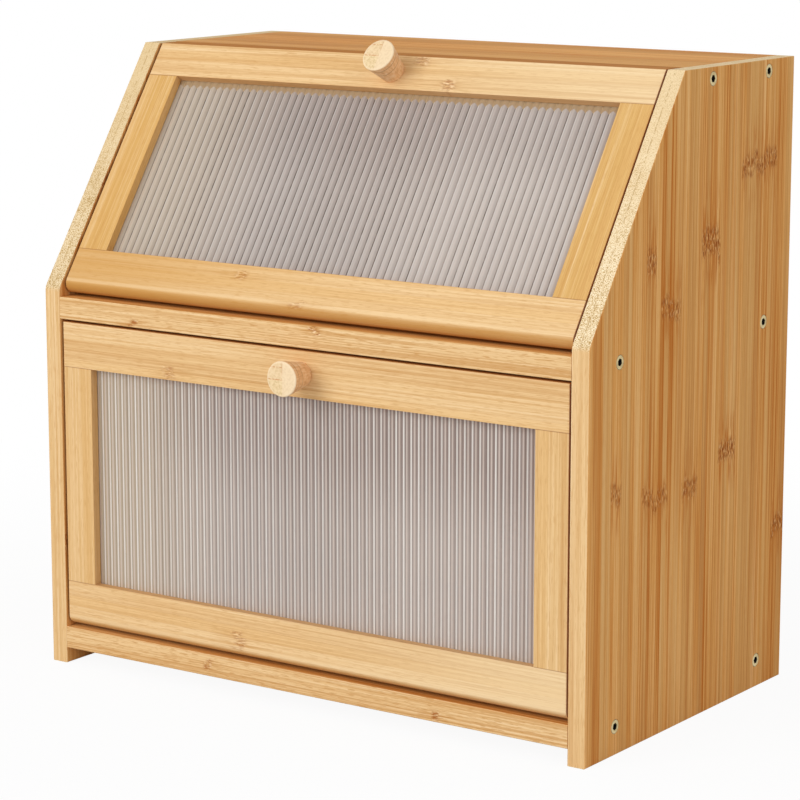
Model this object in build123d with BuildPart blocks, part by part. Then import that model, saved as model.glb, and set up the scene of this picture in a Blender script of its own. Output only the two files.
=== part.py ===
from build123d import *
import os
from math import atan2, cos, degrees, floor, sin, tan

# A two-tier bread box in bamboo with two doors that fall forward on pins at their foot.
# Millimetres. +X is to the right, +Y to the back and +Z up. The origin is on the table, at the
# middle of the whole box from the lower knob's face to the back edges of the side panels.

# ---- Case
width = 400.0  # over both side panels
depth = 236.0  # front edge to back edge of a side panel
side_thickness = 12.0
board_thickness = 14.0  # top panel, shelf and base board
base_clearance = 10.0  # table to underside of the base board
lower_opening = 199.5  # base board to shelf
kink_rise = 5.5  # shelf's top to the corner where the front edge starts to lean back
slant_rise = 147.0  # that corner to the top
slant_run = 102.0  # how far back the front edge has leaned at the top
kink_radius = 8.0
arris = 0.8  # rounding of the boards' long edges

# ---- Back panel, let into the side panels and the top panel
back_thickness = 5.0
back_side_lap = 6.0
back_top_lap = 8.0
back_fit = 0.2  # play round the back panel's edges
back_screw_radius = 1.5
back_screw_head_radius = 2.9
back_screw_length = 18.0
back_screw_spacing = 150.0

# ---- Screws through the side panels into the ends of the boards
case_screw_radius = 2.5
case_screw_head_radius = 4.4
case_screw_length = 45.0
case_screw_sink = 0.3  # head below the panel's face
case_screw_play = 0.15  # shank to the hole in the side panel
case_screw_point = 2.0
socket_width = 4.0  # across flats
socket_depth = 2.6
screw_front_inset = 33.4
screw_back_inset = 31.8

# ---- Doors
door_thickness = 12.0
door_recess = 1.0  # face behind the side panels' front edges
door_side_gap = 1.3
door_top_gap = 1.6  # lower door to the underside of the shelf
door_foot_gap = 2.0  # foot rail to the board under it
door_back_gap = 1.0  # back face to whatever the door closes on
stile_width = 22.5
lower_top_rail = 28.5
lower_foot_rail = 28.5
upper_top_rail = 23.5
upper_foot_rail = 27.5
door_arris = 0.8
front_lip = 5.6  # frame's face to the pane's groove
groove_depth = 5.0

# ---- Panes
pane_thickness = 3.0  # over the flutes
pane_face_fit = 0.1
pane_edge_fit = 0.5
flute_pitch = 5.35
flute_height = 0.8
pane_margin = 0.5  # least plain strip beside the outermost flutes

# ---- Knobs
knob_face_diameter = 21.9  # before its rim is rounded
knob_base_diameter = 15.0
knob_length = 20.0
knob_rim = 1.0
knob_screw_radius = 2.0
knob_screw_head_radius = 3.8
knob_screw_grip = 13.0  # thread in the knob
knob_screw_play = 0.1

# ---- Hinge pins
pin_radius = 2.0
pin_play = 0.05  # radial running clearance in the foot rail
pin_in_side = 8.0
pin_in_rail = 10.0
pin_end_play = 1.5
pin_chamfer = 0.4

# ---- Catches: magnets in the case, strike plates in the doors
catch_inset = 30.0  # door's end to the catch
magnet_radius = 4.0
magnet_thickness = 3.0
strike_radius = 4.5
strike_thickness = 1.5
stop_height = 16.0
stop_depth = 12.0

# ---- Worked out from the sizes above
inner_width = width - 2 * side_thickness
base_bottom = base_clearance
base_top = base_bottom + board_thickness
shelf_bottom = base_top + lower_opening
shelf_top = shelf_bottom + board_thickness
kink_height = shelf_top + kink_rise
height = kink_height + slant_rise
top_bottom = height - board_thickness

knob_reach = knob_length - door_recess
front_y = (knob_reach - depth) / 2
back_y = front_y + depth
back_panel_y = back_y - back_thickness

lean = atan2(slant_run, slant_rise)  # upper door's lean from upright
door_width = inner_width - 2 * door_side_gap
door_half = door_thickness / 2
foot_radius = door_half
pane_groove = pane_thickness + 2 * pane_face_fit
groove_front = door_half - front_lip
groove_back = groove_front - pane_groove
groove_middle = (groove_front + groove_back) / 2
window_width = door_width - 2 * stile_width
pane_width = window_width + 2 * (groove_depth - pane_edge_fit)
catch_x = door_width / 2 - catch_inset

lower_pivot_y = front_y + door_recess + door_half
lower_pivot_z = base_top + door_foot_gap + foot_radius
upper_pivot_z = shelf_top + door_foot_gap + foot_radius
# The upper pivot lies on the upper door's middle plane, which is parallel to the slant.
upper_pivot_y = (
    front_y + (upper_pivot_z - kink_height) * tan(lean) + (door_recess + door_half) / cos(lean)
)
lower_door_top = shelf_bottom - door_top_gap - lower_pivot_z  # pivot to the front top edge
upper_door_top = (height - upper_pivot_z - door_half * sin(lean)) / cos(lean)

lower_screw_z = base_bottom + board_thickness / 2
shelf_screw_z = shelf_bottom + board_thickness / 2
top_screw_z = top_bottom + board_thickness / 2


def slant_y(z, behind):
    """Y of the line parallel to the side panels' slanted edge, a distance behind it, at height z."""
    return front_y + (z - kink_height) * tan(lean) + behind / cos(lean)


# ---- Side panels
screw_points = [
    (front_y + screw_front_inset, lower_screw_z),
    (back_y - screw_back_inset, lower_screw_z),
    (front_y + screw_front_inset, shelf_screw_z),
    (back_y - screw_back_inset, shelf_screw_z),
    (front_y + slant_run + screw_front_inset, top_screw_z),
    (back_y - screw_back_inset, top_screw_z),
]
pivot_points = [(lower_pivot_y, lower_pivot_z), (upper_pivot_y, upper_pivot_z)]
outer_face = Plane.YZ.offset(width / 2)
inner_face = Plane.YZ.offset(inner_width / 2)

with BuildPart() as right_side_panel:
    with BuildSketch(inner_face) as panel_outline:
        with BuildLine():
            Polyline(
                (front_y, 0),
                (back_y, 0),
                (back_y, height),
                (front_y + slant_run, height),
                (front_y, kink_height),
                close=True,
            )
        make_face()
        kink = panel_outline.vertices().group_by(Axis.X)[0].sort_by(Axis.Y)[-1]
        fillet(kink, kink_radius)
    extrude(amount=side_thickness)
    outline_edges = (
        right_side_panel.edges().group_by(Axis.X)[0] + right_side_panel.edges().group_by(Axis.X)[-1]
    )
    fillet(outline_edges, arris)
    # Rebate for the back panel, up to the height that the top panel covers.
    with BuildSketch(Plane.XY.offset(base_bottom)):
        with Locations((inner_width / 2, back_y)):
            Rectangle(2 * back_side_lap, 2 * back_thickness)
    extrude(amount=top_bottom + back_top_lap - base_bottom, mode=Mode.SUBTRACT)
    with BuildSketch(inner_face):
        with Locations(*pivot_points):
            Circle(pin_radius)
    extrude(amount=pin_in_side, mode=Mode.SUBTRACT)
    with Locations(*(outer_face * Location((y, z)) for y, z in screw_points)):
        CounterSinkHole(
            case_screw_radius + case_screw_play,
            case_screw_head_radius + case_screw_sink,
            counter_sink_angle=90,
        )

with BuildPart() as left_side_panel:
    mirror(right_side_panel.part, about=Plane.YZ)


# ---- Boards between the side panels
def board(profile_points, screws):
    """A board across the case: a profile in Y and Z, with pilot holes in both ends."""
    with BuildPart() as plank:
        with BuildSketch(Plane.YZ):
            with BuildLine():
                Polyline(*profile_points, close=True)
            make_face()
        extrude(amount=inner_width / 2, both=True)
        front_edges = plank.edges().filter_by(Axis.X).group_by(Axis.Y)[0]
        fillet(front_edges, arris)
        for end in (-1, 1):
            face_plane = Plane((end * inner_width / 2, 0, 0), x_dir=(0, 1, 0), z_dir=(1, 0, 0))
            with BuildSketch(face_plane):
                with Locations(*screws):
                    Circle(case_screw_radius)
            extrude(amount=-end * (case_screw_length - side_thickness), mode=Mode.SUBTRACT)
    return plank


def back_pilots(z):
    """Where the back panel's screws enter the back edge of a board at height z."""
    return [
        Location((x * back_screw_spacing, back_panel_y, z), (-90, 0, 0)) for x in (-1, 0, 1)
    ]


back_pilot_depth = back_screw_length - back_thickness

base_profile = [
    (front_y, base_bottom),
    (back_panel_y, base_bottom),
    (back_panel_y, base_top),
    (front_y, base_top),
]
base_plank = board(base_profile, screw_points[0:2])
with BuildPart() as base_board:
    add(base_plank.part)
    with Locations(*back_pilots(lower_screw_z)):
        Hole(back_screw_radius, depth=back_pilot_depth)

shelf_profile = [
    (front_y, shelf_bottom),
    (back_panel_y, shelf_bottom),
    (back_panel_y, shelf_top),
    (front_y, shelf_top),
]
shelf_plank = board(shelf_profile, screw_points[2:4])
with BuildPart() as middle_shelf:
    add(shelf_plank.part)
    with Locations(*back_pilots(shelf_screw_z)):
        Hole(back_screw_radius, depth=back_pilot_depth)

# The top panel's front edge is bevelled to lie behind the leaning door.
bevel_depth = door_recess + door_thickness + door_back_gap
top_back_screw_z = top_bottom + back_top_lap / 2
top_profile = [
    (slant_y(top_bottom, bevel_depth), top_bottom),
    (back_panel_y, top_bottom),
    (back_panel_y, top_bottom + back_top_lap),
    (back_y, top_bottom + back_top_lap),
    (back_y, height),
    (slant_y(height, bevel_depth), height),
]
top_plank = board(top_profile, screw_points[4:6])
bevel_plane = Plane(
    (0, slant_y(top_screw_z, bevel_depth), top_screw_z),
    x_dir=(1, 0, 0),
    z_dir=(0, -cos(lean), sin(lean)),
)
with BuildPart() as top_panel:
    add(top_plank.part)
    with Locations(*back_pilots(top_back_screw_z)):
        Hole(back_screw_radius, depth=back_pilot_depth)
    with BuildSketch(bevel_plane):
        with Locations((-catch_x, 0), (catch_x, 0)):
            Circle(magnet_radius)
    extrude(amount=-magnet_thickness, mode=Mode.SUBTRACT)

# ---- Back panel and its screws
back_screw_rows = [lower_screw_z, shelf_screw_z, top_back_screw_z]
back_top = top_bottom + back_top_lap - back_fit
back_face = Plane.XZ.offset(-back_y)
back_screw_seats = [
    Location((x * back_screw_spacing, back_y, z), (-90, 0, 0))
    for z in back_screw_rows
    for x in (-1, 0, 1)
]
with BuildPart() as back_panel:
    with BuildSketch(back_face):
        with Locations((0, (base_bottom + back_top) / 2)):
            Rectangle(inner_width + 2 * (back_side_lap - back_fit), back_top - base_bottom)
    extrude(amount=back_thickness)
    with Locations(*back_screw_seats):
        CounterSinkHole(back_screw_radius, back_screw_head_radius, counter_sink_angle=90)


def wood_screw(radius, head_radius, length, point):
    """A countersunk screw that points down -Z, with the middle of its flat head at the origin."""
    neck = head_radius - radius
    with BuildPart() as screw:
        with BuildSketch(Plane.XZ):
            with BuildLine():
                Polyline(
                    (0, 0),
                    (head_radius, 0),
                    (radius, -neck),
                    (radius, -length + point),
                    (0, -length),
                    close=True,
                )
            make_face()
        revolve(axis=Axis.Z)
    return screw


back_screw = wood_screw(
    back_screw_radius, back_screw_head_radius, back_screw_length, back_screw_radius
)
with BuildPart() as back_screws:
    with Locations(*back_screw_seats):
        add(back_screw.part)

# ---- Case screws, each with a hexagon socket
case_screw_shank = wood_screw(
    case_screw_radius,
    case_screw_head_radius,
    case_screw_length - case_screw_sink,
    case_screw_point,
)
with BuildPart() as case_screw:
    add(case_screw_shank.part)
    with BuildSketch(Plane.XY):
        RegularPolygon(socket_width / 2, 6, major_radius=False)
    extrude(amount=-socket_depth, mode=Mode.SUBTRACT)

with BuildPart() as right_case_screws:
    with Locations(
        *(Location((width / 2 - case_screw_sink, y, z), (0, 90, 0)) for y, z in screw_points)
    ):
        add(case_screw.part)

with BuildPart() as left_case_screws:
    mirror(right_case_screws.part, about=Plane.YZ)

# ---- Stop strip under the shelf, behind the lower door
stop_y = front_y + door_recess + door_thickness + door_back_gap
stop_middle_z = shelf_bottom - stop_height / 2
stop_plane = Plane((0, stop_y, stop_middle_z), x_dir=(1, 0, 0), z_dir=(0, -1, 0))
with BuildPart() as stop_strip:
    with BuildSketch(stop_plane):
        Rectangle(inner_width, stop_height)
    extrude(amount=-stop_depth)
    fillet(stop_strip.edges().filter_by(Axis.X).group_by(Axis.Z)[0], arris)
    with BuildSketch(stop_plane):
        with Locations((-catch_x, 0), (catch_x, 0)):
            Circle(magnet_radius)
    extrude(amount=-magnet_thickness, mode=Mode.SUBTRACT)


# ---- Magnets
def magnets(face_plane):
    """Two disc magnets, flush in a face that the door closes on."""
    with BuildPart() as discs:
        with BuildSketch(face_plane):
            with Locations((-catch_x, 0), (catch_x, 0)):
                Circle(magnet_radius)
        extrude(amount=-magnet_thickness)
    return discs


lower_magnets = magnets(stop_plane)
upper_magnets = magnets(bevel_plane)


# ---- Hinge pins, pressed into the side panels
def hinge_pins(pivot_y, pivot_z):
    """Two pins on one axis, each from a side panel into an end of the foot rail."""
    pin_start = door_width / 2 - pin_in_rail
    with BuildPart() as pins:
        for end in (-1, 1):
            pin_plane = Plane((end * pin_start, pivot_y, pivot_z), x_dir=(0, 1, 0), z_dir=(end, 0, 0))
            with BuildSketch(pin_plane):
                Circle(pin_radius)
            extrude(amount=inner_width / 2 + pin_in_side - pin_start)
        tips = pins.edges().filter_by(GeomType.CIRCLE)
        chamfer(tips, pin_chamfer)
    return pins


lower_hinge_pins = hinge_pins(lower_pivot_y, lower_pivot_z)
upper_hinge_pins = hinge_pins(upper_pivot_y, upper_pivot_z)


# ---- Doors. A door's plane lies in the middle of its thickness, with its origin on the pin's axis:
# local X runs across the door, local Y up the door and local Z out of its face.
lower_door_plane = Plane((0, lower_pivot_y, lower_pivot_z), x_dir=(1, 0, 0), z_dir=(0, -1, 0))
upper_door_plane = Plane(
    (0, upper_pivot_y, upper_pivot_z), x_dir=(1, 0, 0), z_dir=(0, -cos(lean), sin(lean))
)


def at_door(door_plane, x, up, out):
    """The world point at a place in a door's plane."""
    return door_plane.from_local_coords(Vector(x, up, out))


def across(door_plane, x=0):
    """The plane square to the door's width: its X runs up the door and its Y out of its face."""
    return Plane(at_door(door_plane, x, 0, 0), x_dir=door_plane.y_dir, z_dir=(1, 0, 0))


def end_arrises(rail, door_plane, below=0.0):
    """The edges round a rail's two ends that lie on its face, or reach under the pins' axis."""
    ends = rail.edges().group_by(Axis.X)[0] + rail.edges().group_by(Axis.X)[-1]
    found = []
    for edge in ends:
        place = door_plane.to_local_coords(edge.center())
        if place.Z > door_half - 0.01 or place.Y < -below + 0.01:
            found.append(edge)
    return found


def foot_rail(door_plane, rail_width):
    """The bottom rail: a full round foot about the pins, and the pane's groove along its top."""
    rail_top = rail_width - foot_radius
    with BuildPart() as rail:
        with BuildSketch(across(door_plane)):
            Circle(foot_radius)
            with Locations((rail_top / 2, 0)):
                Rectangle(rail_top, door_thickness)
            with Locations((rail_top, groove_middle)):
                Rectangle(2 * groove_depth, pane_groove, mode=Mode.SUBTRACT)
        extrude(amount=door_width / 2, both=True)
        fillet(end_arrises(rail, door_plane, foot_radius), door_arris)
        for end in (-1, 1):
            with BuildSketch(across(door_plane, end * door_width / 2)):
                Circle(pin_radius + pin_play)
            extrude(amount=-end * (pin_in_rail + pin_end_play), mode=Mode.SUBTRACT)
    return rail


def top_rail(door_plane, top, rail_width, top_lean, knob_up, catch_up):
    """The top rail, its upper edge level when the door is shut and leans back by top_lean."""
    rail_foot = top - rail_width
    screw_plane = Plane(at_door(door_plane, 0, knob_up, -door_half), x_dir=(1, 0, 0), z_dir=-door_plane.z_dir)
    with BuildPart() as rail:
        with BuildSketch(across(door_plane)):
            with BuildLine():
                Polyline(
                    (rail_foot, -door_half),
                    (top + door_thickness * tan(top_lean), -door_half),
                    (top, door_half),
                    (rail_foot, door_half),
                    close=True,
                )
            make_face()
            with Locations((rail_foot, groove_middle)):
                Rectangle(2 * groove_depth, pane_groove, mode=Mode.SUBTRACT)
        extrude(amount=door_width / 2, both=True)
        front_top = rail.edges().filter_by(Axis.X).sort_by_distance(
            at_door(door_plane, 0, top, door_half)
        )[0]
        fillet([front_top] + end_arrises(rail, door_plane), door_arris)
        with BuildSketch(door_plane.offset(-door_half)):
            with Locations((-catch_x, catch_up), (catch_x, catch_up)):
                Circle(strike_radius)
        extrude(amount=strike_thickness, mode=Mode.SUBTRACT)
        with Locations(screw_plane):
            CounterSinkHole(
                knob_screw_radius + knob_screw_play, knob_screw_head_radius, counter_sink_angle=90
            )
    return rail


def stile(door_plane, foot, top):
    """The right stile, between the rails, with stub tenons that fill the rails' grooves."""
    middle_x = (door_width - stile_width) / 2
    middle_up = (foot + top) / 2
    with BuildPart() as upright:
        with BuildSketch(door_plane):
            with Locations((middle_x, middle_up)):
                Rectangle(stile_width, top - foot)
        extrude(amount=door_half, both=True)
        with BuildSketch(door_plane.offset(groove_back)):
            with Locations((middle_x, middle_up)):
                Rectangle(stile_width, top - foot + 2 * groove_depth)
        extrude(amount=pane_groove)
        with BuildSketch(door_plane.offset(groove_back)):
            with Locations((window_width / 2, middle_up)):
                Rectangle(2 * groove_depth, top - foot + 2 * groove_depth)
        extrude(amount=pane_groove, mode=Mode.SUBTRACT)
        outer_front = upright.edges().sort_by_distance(
            at_door(door_plane, door_width / 2, middle_up, door_half)
        )[0]
        fillet(outer_front, door_arris)
    return upright


def mirrored(solid):
    """The same piece on the other side of the box."""
    with BuildPart() as other:
        mirror(solid.part, about=Plane.YZ)
    return other


def pane(door_plane, foot, top):
    """The clear pane, flat behind and with half-round flutes up its front."""
    flute_count = floor((pane_width - 2 * pane_margin) / flute_pitch)
    flutes_start = -flute_count * flute_pitch / 2
    pane_back = groove_back + pane_face_fit
    pane_crest = pane_back + pane_thickness
    pane_valley = pane_crest - flute_height
    pane_foot = foot - groove_depth + pane_edge_fit
    pane_top = top + groove_depth - pane_edge_fit
    # Local Y of this plane runs out of the door's face.
    section = Plane(at_door(door_plane, 0, pane_top, 0), x_dir=(1, 0, 0), z_dir=-door_plane.y_dir)
    with BuildPart() as sheet:
        with BuildSketch(section):
            with BuildLine():
                Polyline(
                    (flutes_start, pane_valley),
                    (-pane_width / 2, pane_valley),
                    (-pane_width / 2, pane_back),
                    (pane_width / 2, pane_back),
                    (pane_width / 2, pane_valley),
                    (-flutes_start, pane_valley),
                )
                for flute in range(flute_count):
                    left = flutes_start + flute * flute_pitch
                    ThreePointArc(
                        (left, pane_valley),
                        (left + flute_pitch / 2, pane_crest),
                        (left + flute_pitch, pane_valley),
                    )
            make_face()
        extrude(amount=pane_top - pane_foot)
    return sheet


def knob(door_plane, knob_up):
    """A turned knob that widens from its base to its face, on the door's front."""
    seat = at_door(door_plane, 0, knob_up, door_half)
    profile_plane = Plane(seat, x_dir=(1, 0, 0), z_dir=-door_plane.y_dir)
    with BuildPart() as turned:
        with BuildSketch(profile_plane) as half_profile:
            with BuildLine():
                Polyline(
                    (0, 0),
                    (knob_base_diameter / 2, 0),
                    (knob_face_diameter / 2, knob_length),
                    (0, knob_length),
                    close=True,
                )
            make_face()
            rim = half_profile.vertices().sort_by(Axis.X)[-1]
            fillet(rim, knob_rim)
        revolve(axis=Axis(seat, door_plane.z_dir))
        with Locations(Plane(seat, x_dir=(1, 0, 0), z_dir=-door_plane.z_dir)):
            Hole(knob_screw_radius, depth=knob_screw_grip)
    return turned


knob_screw_shape = wood_screw(
    knob_screw_radius, knob_screw_head_radius, door_thickness + knob_screw_grip, 0
)


def knob_screw(door_plane, knob_up):
    """The screw that holds a knob, its head flush in the back of the top rail."""
    head = Plane(at_door(door_plane, 0, knob_up, -door_half), x_dir=(1, 0, 0), z_dir=-door_plane.z_dir)
    with BuildPart() as screw:
        with Locations(head):
            add(knob_screw_shape.part)
    return screw


def strike_plates(door_plane, catch_up):
    """Two steel discs let into the back of the top rail, opposite the magnets."""
    with BuildPart() as plates:
        with BuildSketch(door_plane.offset(-door_half)):
            with Locations((-catch_x, catch_up), (catch_x, catch_up)):
                Circle(strike_radius)
        extrude(amount=strike_thickness)
    return plates


def door_pieces(prefix, door_plane, top, foot_width, top_width, top_lean, catch_up):
    """Every piece of one door, by name."""
    foot = foot_width - foot_radius
    window_top = top - top_width
    knob_up = top - top_width / 2
    right_stile = stile(door_plane, foot, window_top)
    return {
        prefix + "_foot_rail": foot_rail(door_plane, foot_width),
        prefix + "_top_rail": top_rail(door_plane, top, top_width, top_lean, knob_up, catch_up),
        prefix + "_right_stile": right_stile,
        prefix + "_left_stile": mirrored(right_stile),
        prefix + "_pane": pane(door_plane, foot, window_top),
        prefix + "_knob": knob(door_plane, knob_up),
        prefix + "_knob_screw": knob_screw(door_plane, knob_up),
        prefix + "_strike_plates": strike_plates(door_plane, catch_up),
    }


lower_catch_up = stop_middle_z - lower_pivot_z
upper_catch_up = upper_door_plane.to_local_coords(bevel_plane.origin).Y

pieces = {
    "right_side_panel": right_side_panel,
    "left_side_panel": left_side_panel,
    "top_panel": top_panel,
    "middle_shelf": middle_shelf,
    "base_board": base_board,
    "back_panel": back_panel,
    "back_screws": back_screws,
    "right_case_screws": right_case_screws,
    "left_case_screws": left_case_screws,
    "stop_strip": stop_strip,
    "lower_magnets": lower_magnets,
    "upper_magnets": upper_magnets,
    "lower_hinge_pins": lower_hinge_pins,
    "upper_hinge_pins": upper_hinge_pins,
}
pieces |= door_pieces(
    "lower_door",
    lower_door_plane,
    lower_door_top,
    lower_foot_rail,
    lower_top_rail,
    0,
    lower_catch_up,
)
pieces |= door_pieces(
    "upper_door",
    upper_door_plane,
    upper_door_top,
    upper_foot_rail,
    upper_top_rail,
    lean,
    upper_catch_up,
)

os.makedirs("parts", exist_ok=True)
for piece_name, piece in pieces.items():
    piece.part.label = piece_name
    export_step(piece.part, f"parts/{piece_name}.step")

print("height", height, "lean", round(degrees(lean), 2), "front", front_y, "back", back_y)
print("lower pivot", round(lower_pivot_y, 3), round(lower_pivot_z, 3))
print("upper pivot", round(upper_pivot_y, 3), round(upper_pivot_z, 3))
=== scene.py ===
"""The looks of a two-tier bamboo bread box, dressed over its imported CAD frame.

Lengths in this file are millimetres, and are divided by MM_PER_M where Blender takes metres. +X is
to the right, +Y to the back and +Z up. The doors face -Y.
"""

import logging
import math
from collections.abc import Mapping, Sequence
from dataclasses import dataclass, replace
from enum import Enum
from typing import Any, ClassVar

import bmesh
import bpy
import numpy as np
from mathutils import Matrix, Vector


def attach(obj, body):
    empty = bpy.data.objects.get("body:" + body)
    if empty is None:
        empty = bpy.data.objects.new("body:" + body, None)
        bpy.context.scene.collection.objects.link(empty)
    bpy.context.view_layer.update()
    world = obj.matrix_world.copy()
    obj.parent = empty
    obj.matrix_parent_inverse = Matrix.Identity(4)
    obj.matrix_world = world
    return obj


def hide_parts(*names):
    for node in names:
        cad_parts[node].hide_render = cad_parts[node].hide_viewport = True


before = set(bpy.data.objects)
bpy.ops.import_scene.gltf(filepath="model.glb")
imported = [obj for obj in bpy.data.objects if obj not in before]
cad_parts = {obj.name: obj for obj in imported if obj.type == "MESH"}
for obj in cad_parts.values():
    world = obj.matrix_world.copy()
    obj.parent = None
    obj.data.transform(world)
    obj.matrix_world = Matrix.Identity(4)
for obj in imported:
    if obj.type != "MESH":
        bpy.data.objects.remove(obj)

log = logging.getLogger("bread_box")

Vec3 = tuple[float, float, float]
Colour = tuple[float, float, float]
Lump = tuple[float, float]  # how wide and how long a lump of noise is

# The name under which a screw's points carry their painted shade, in the recess and round the rim.
RECESS_SHADE_ATTRIBUTE = "grime"
MM_PER_M = 1000.0
WHITE = (1.0, 1.0, 1.0)


def paint(red: int, green: int, blue: int) -> Colour:
    """A colour from its 0 to 255 screen values, in the linear values that shaders use.

    Each channel c is divided by 255. It becomes ((c + 0.055) / 1.055) to the power 2.4, or
    c / 12.92 where it is 0.04045 or less.

    Args:
        red: Red, from 0 to 255.
        green: Green, from 0 to 255.
        blue: Blue, from 0 to 255.

    Returns:
        The linear colour.
    """
    channels = (red / 255, green / 255, blue / 255)
    return tuple(c / 12.92 if c <= 0.04045 else ((c + 0.055) / 1.055) ** 2.4 for c in channels)


# ---------------------------------------------------------------------------------------------
# Shader sums and nodes
# ---------------------------------------------------------------------------------------------


class Term:
    """A number that varies over a surface. A sum written on it adds its Math nodes."""

    def __init__(self, graph: "Graph", socket: bpy.types.NodeSocket) -> None:
        """Wraps a socket.

        Args:
            graph: The graph that the socket belongs to.
            socket: The socket whose value this is.
        """
        self.graph = graph
        self.socket = socket

    def sum(self, operation: str, *values: Any) -> "Term":
        """One Math node.

        Args:
            operation: The Math node's operation.
            *values: Its inputs in order, as terms or numbers.

        Returns:
            The node's result.
        """
        node = self.graph.node("ShaderNodeMath", {"operation": operation}, dict(enumerate(values)))
        return Term(self.graph, node.outputs[0])

    def __add__(self, other: Any) -> "Term":
        """self + other."""
        return self.sum("ADD", self, other)

    def __radd__(self, other: Any) -> "Term":
        """other + self."""
        return self.sum("ADD", other, self)

    def __sub__(self, other: Any) -> "Term":
        """self - other."""
        return self.sum("SUBTRACT", self, other)

    def __rsub__(self, other: Any) -> "Term":
        """other - self."""
        return self.sum("SUBTRACT", other, self)

    def __mul__(self, other: Any) -> "Term":
        """self * other."""
        return self.sum("MULTIPLY", self, other)

    def __rmul__(self, other: Any) -> "Term":
        """other * self."""
        return self.sum("MULTIPLY", other, self)

    def __truediv__(self, other: Any) -> "Term":
        """self / other."""
        return self.sum("DIVIDE", self, other)

    def __pow__(self, other: Any) -> "Term":
        """self ** other."""
        return self.sum("POWER", self, other)

    def __abs__(self) -> "Term":
        """The distance from zero."""
        return self.sum("ABSOLUTE", self)

    def floor(self) -> "Term":
        """The whole number at or below the value."""
        return self.sum("FLOOR", self)

    def fract(self) -> "Term":
        """What is above the whole number."""
        return self.sum("FRACT", self)

    def least(self, other: Any) -> "Term":
        """The smaller of two values."""
        return self.sum("MINIMUM", self, other)

    def most(self, other: Any) -> "Term":
        """The larger of two values."""
        return self.sum("MAXIMUM", self, other)

    def rise(self, low: float, high: float) -> "Term":
        """A smooth step, 0 up to low and 1 from high on.

        Args:
            low: Where it starts to rise.
            high: Where it is full.

        Returns:
            The step.
        """
        node = self.graph.node(
            "ShaderNodeMapRange",
            {"interpolation_type": "SMOOTHSTEP"},
            {0: self, 1: low, 2: high, 3: 0.0, 4: 1.0},
        )
        return Term(self.graph, node.outputs[0])

    def fall(self, low: float, high: float) -> "Term":
        """A smooth step down, 1 up to low and 0 from high on."""
        return 1.0 - self.rise(low, high)


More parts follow.
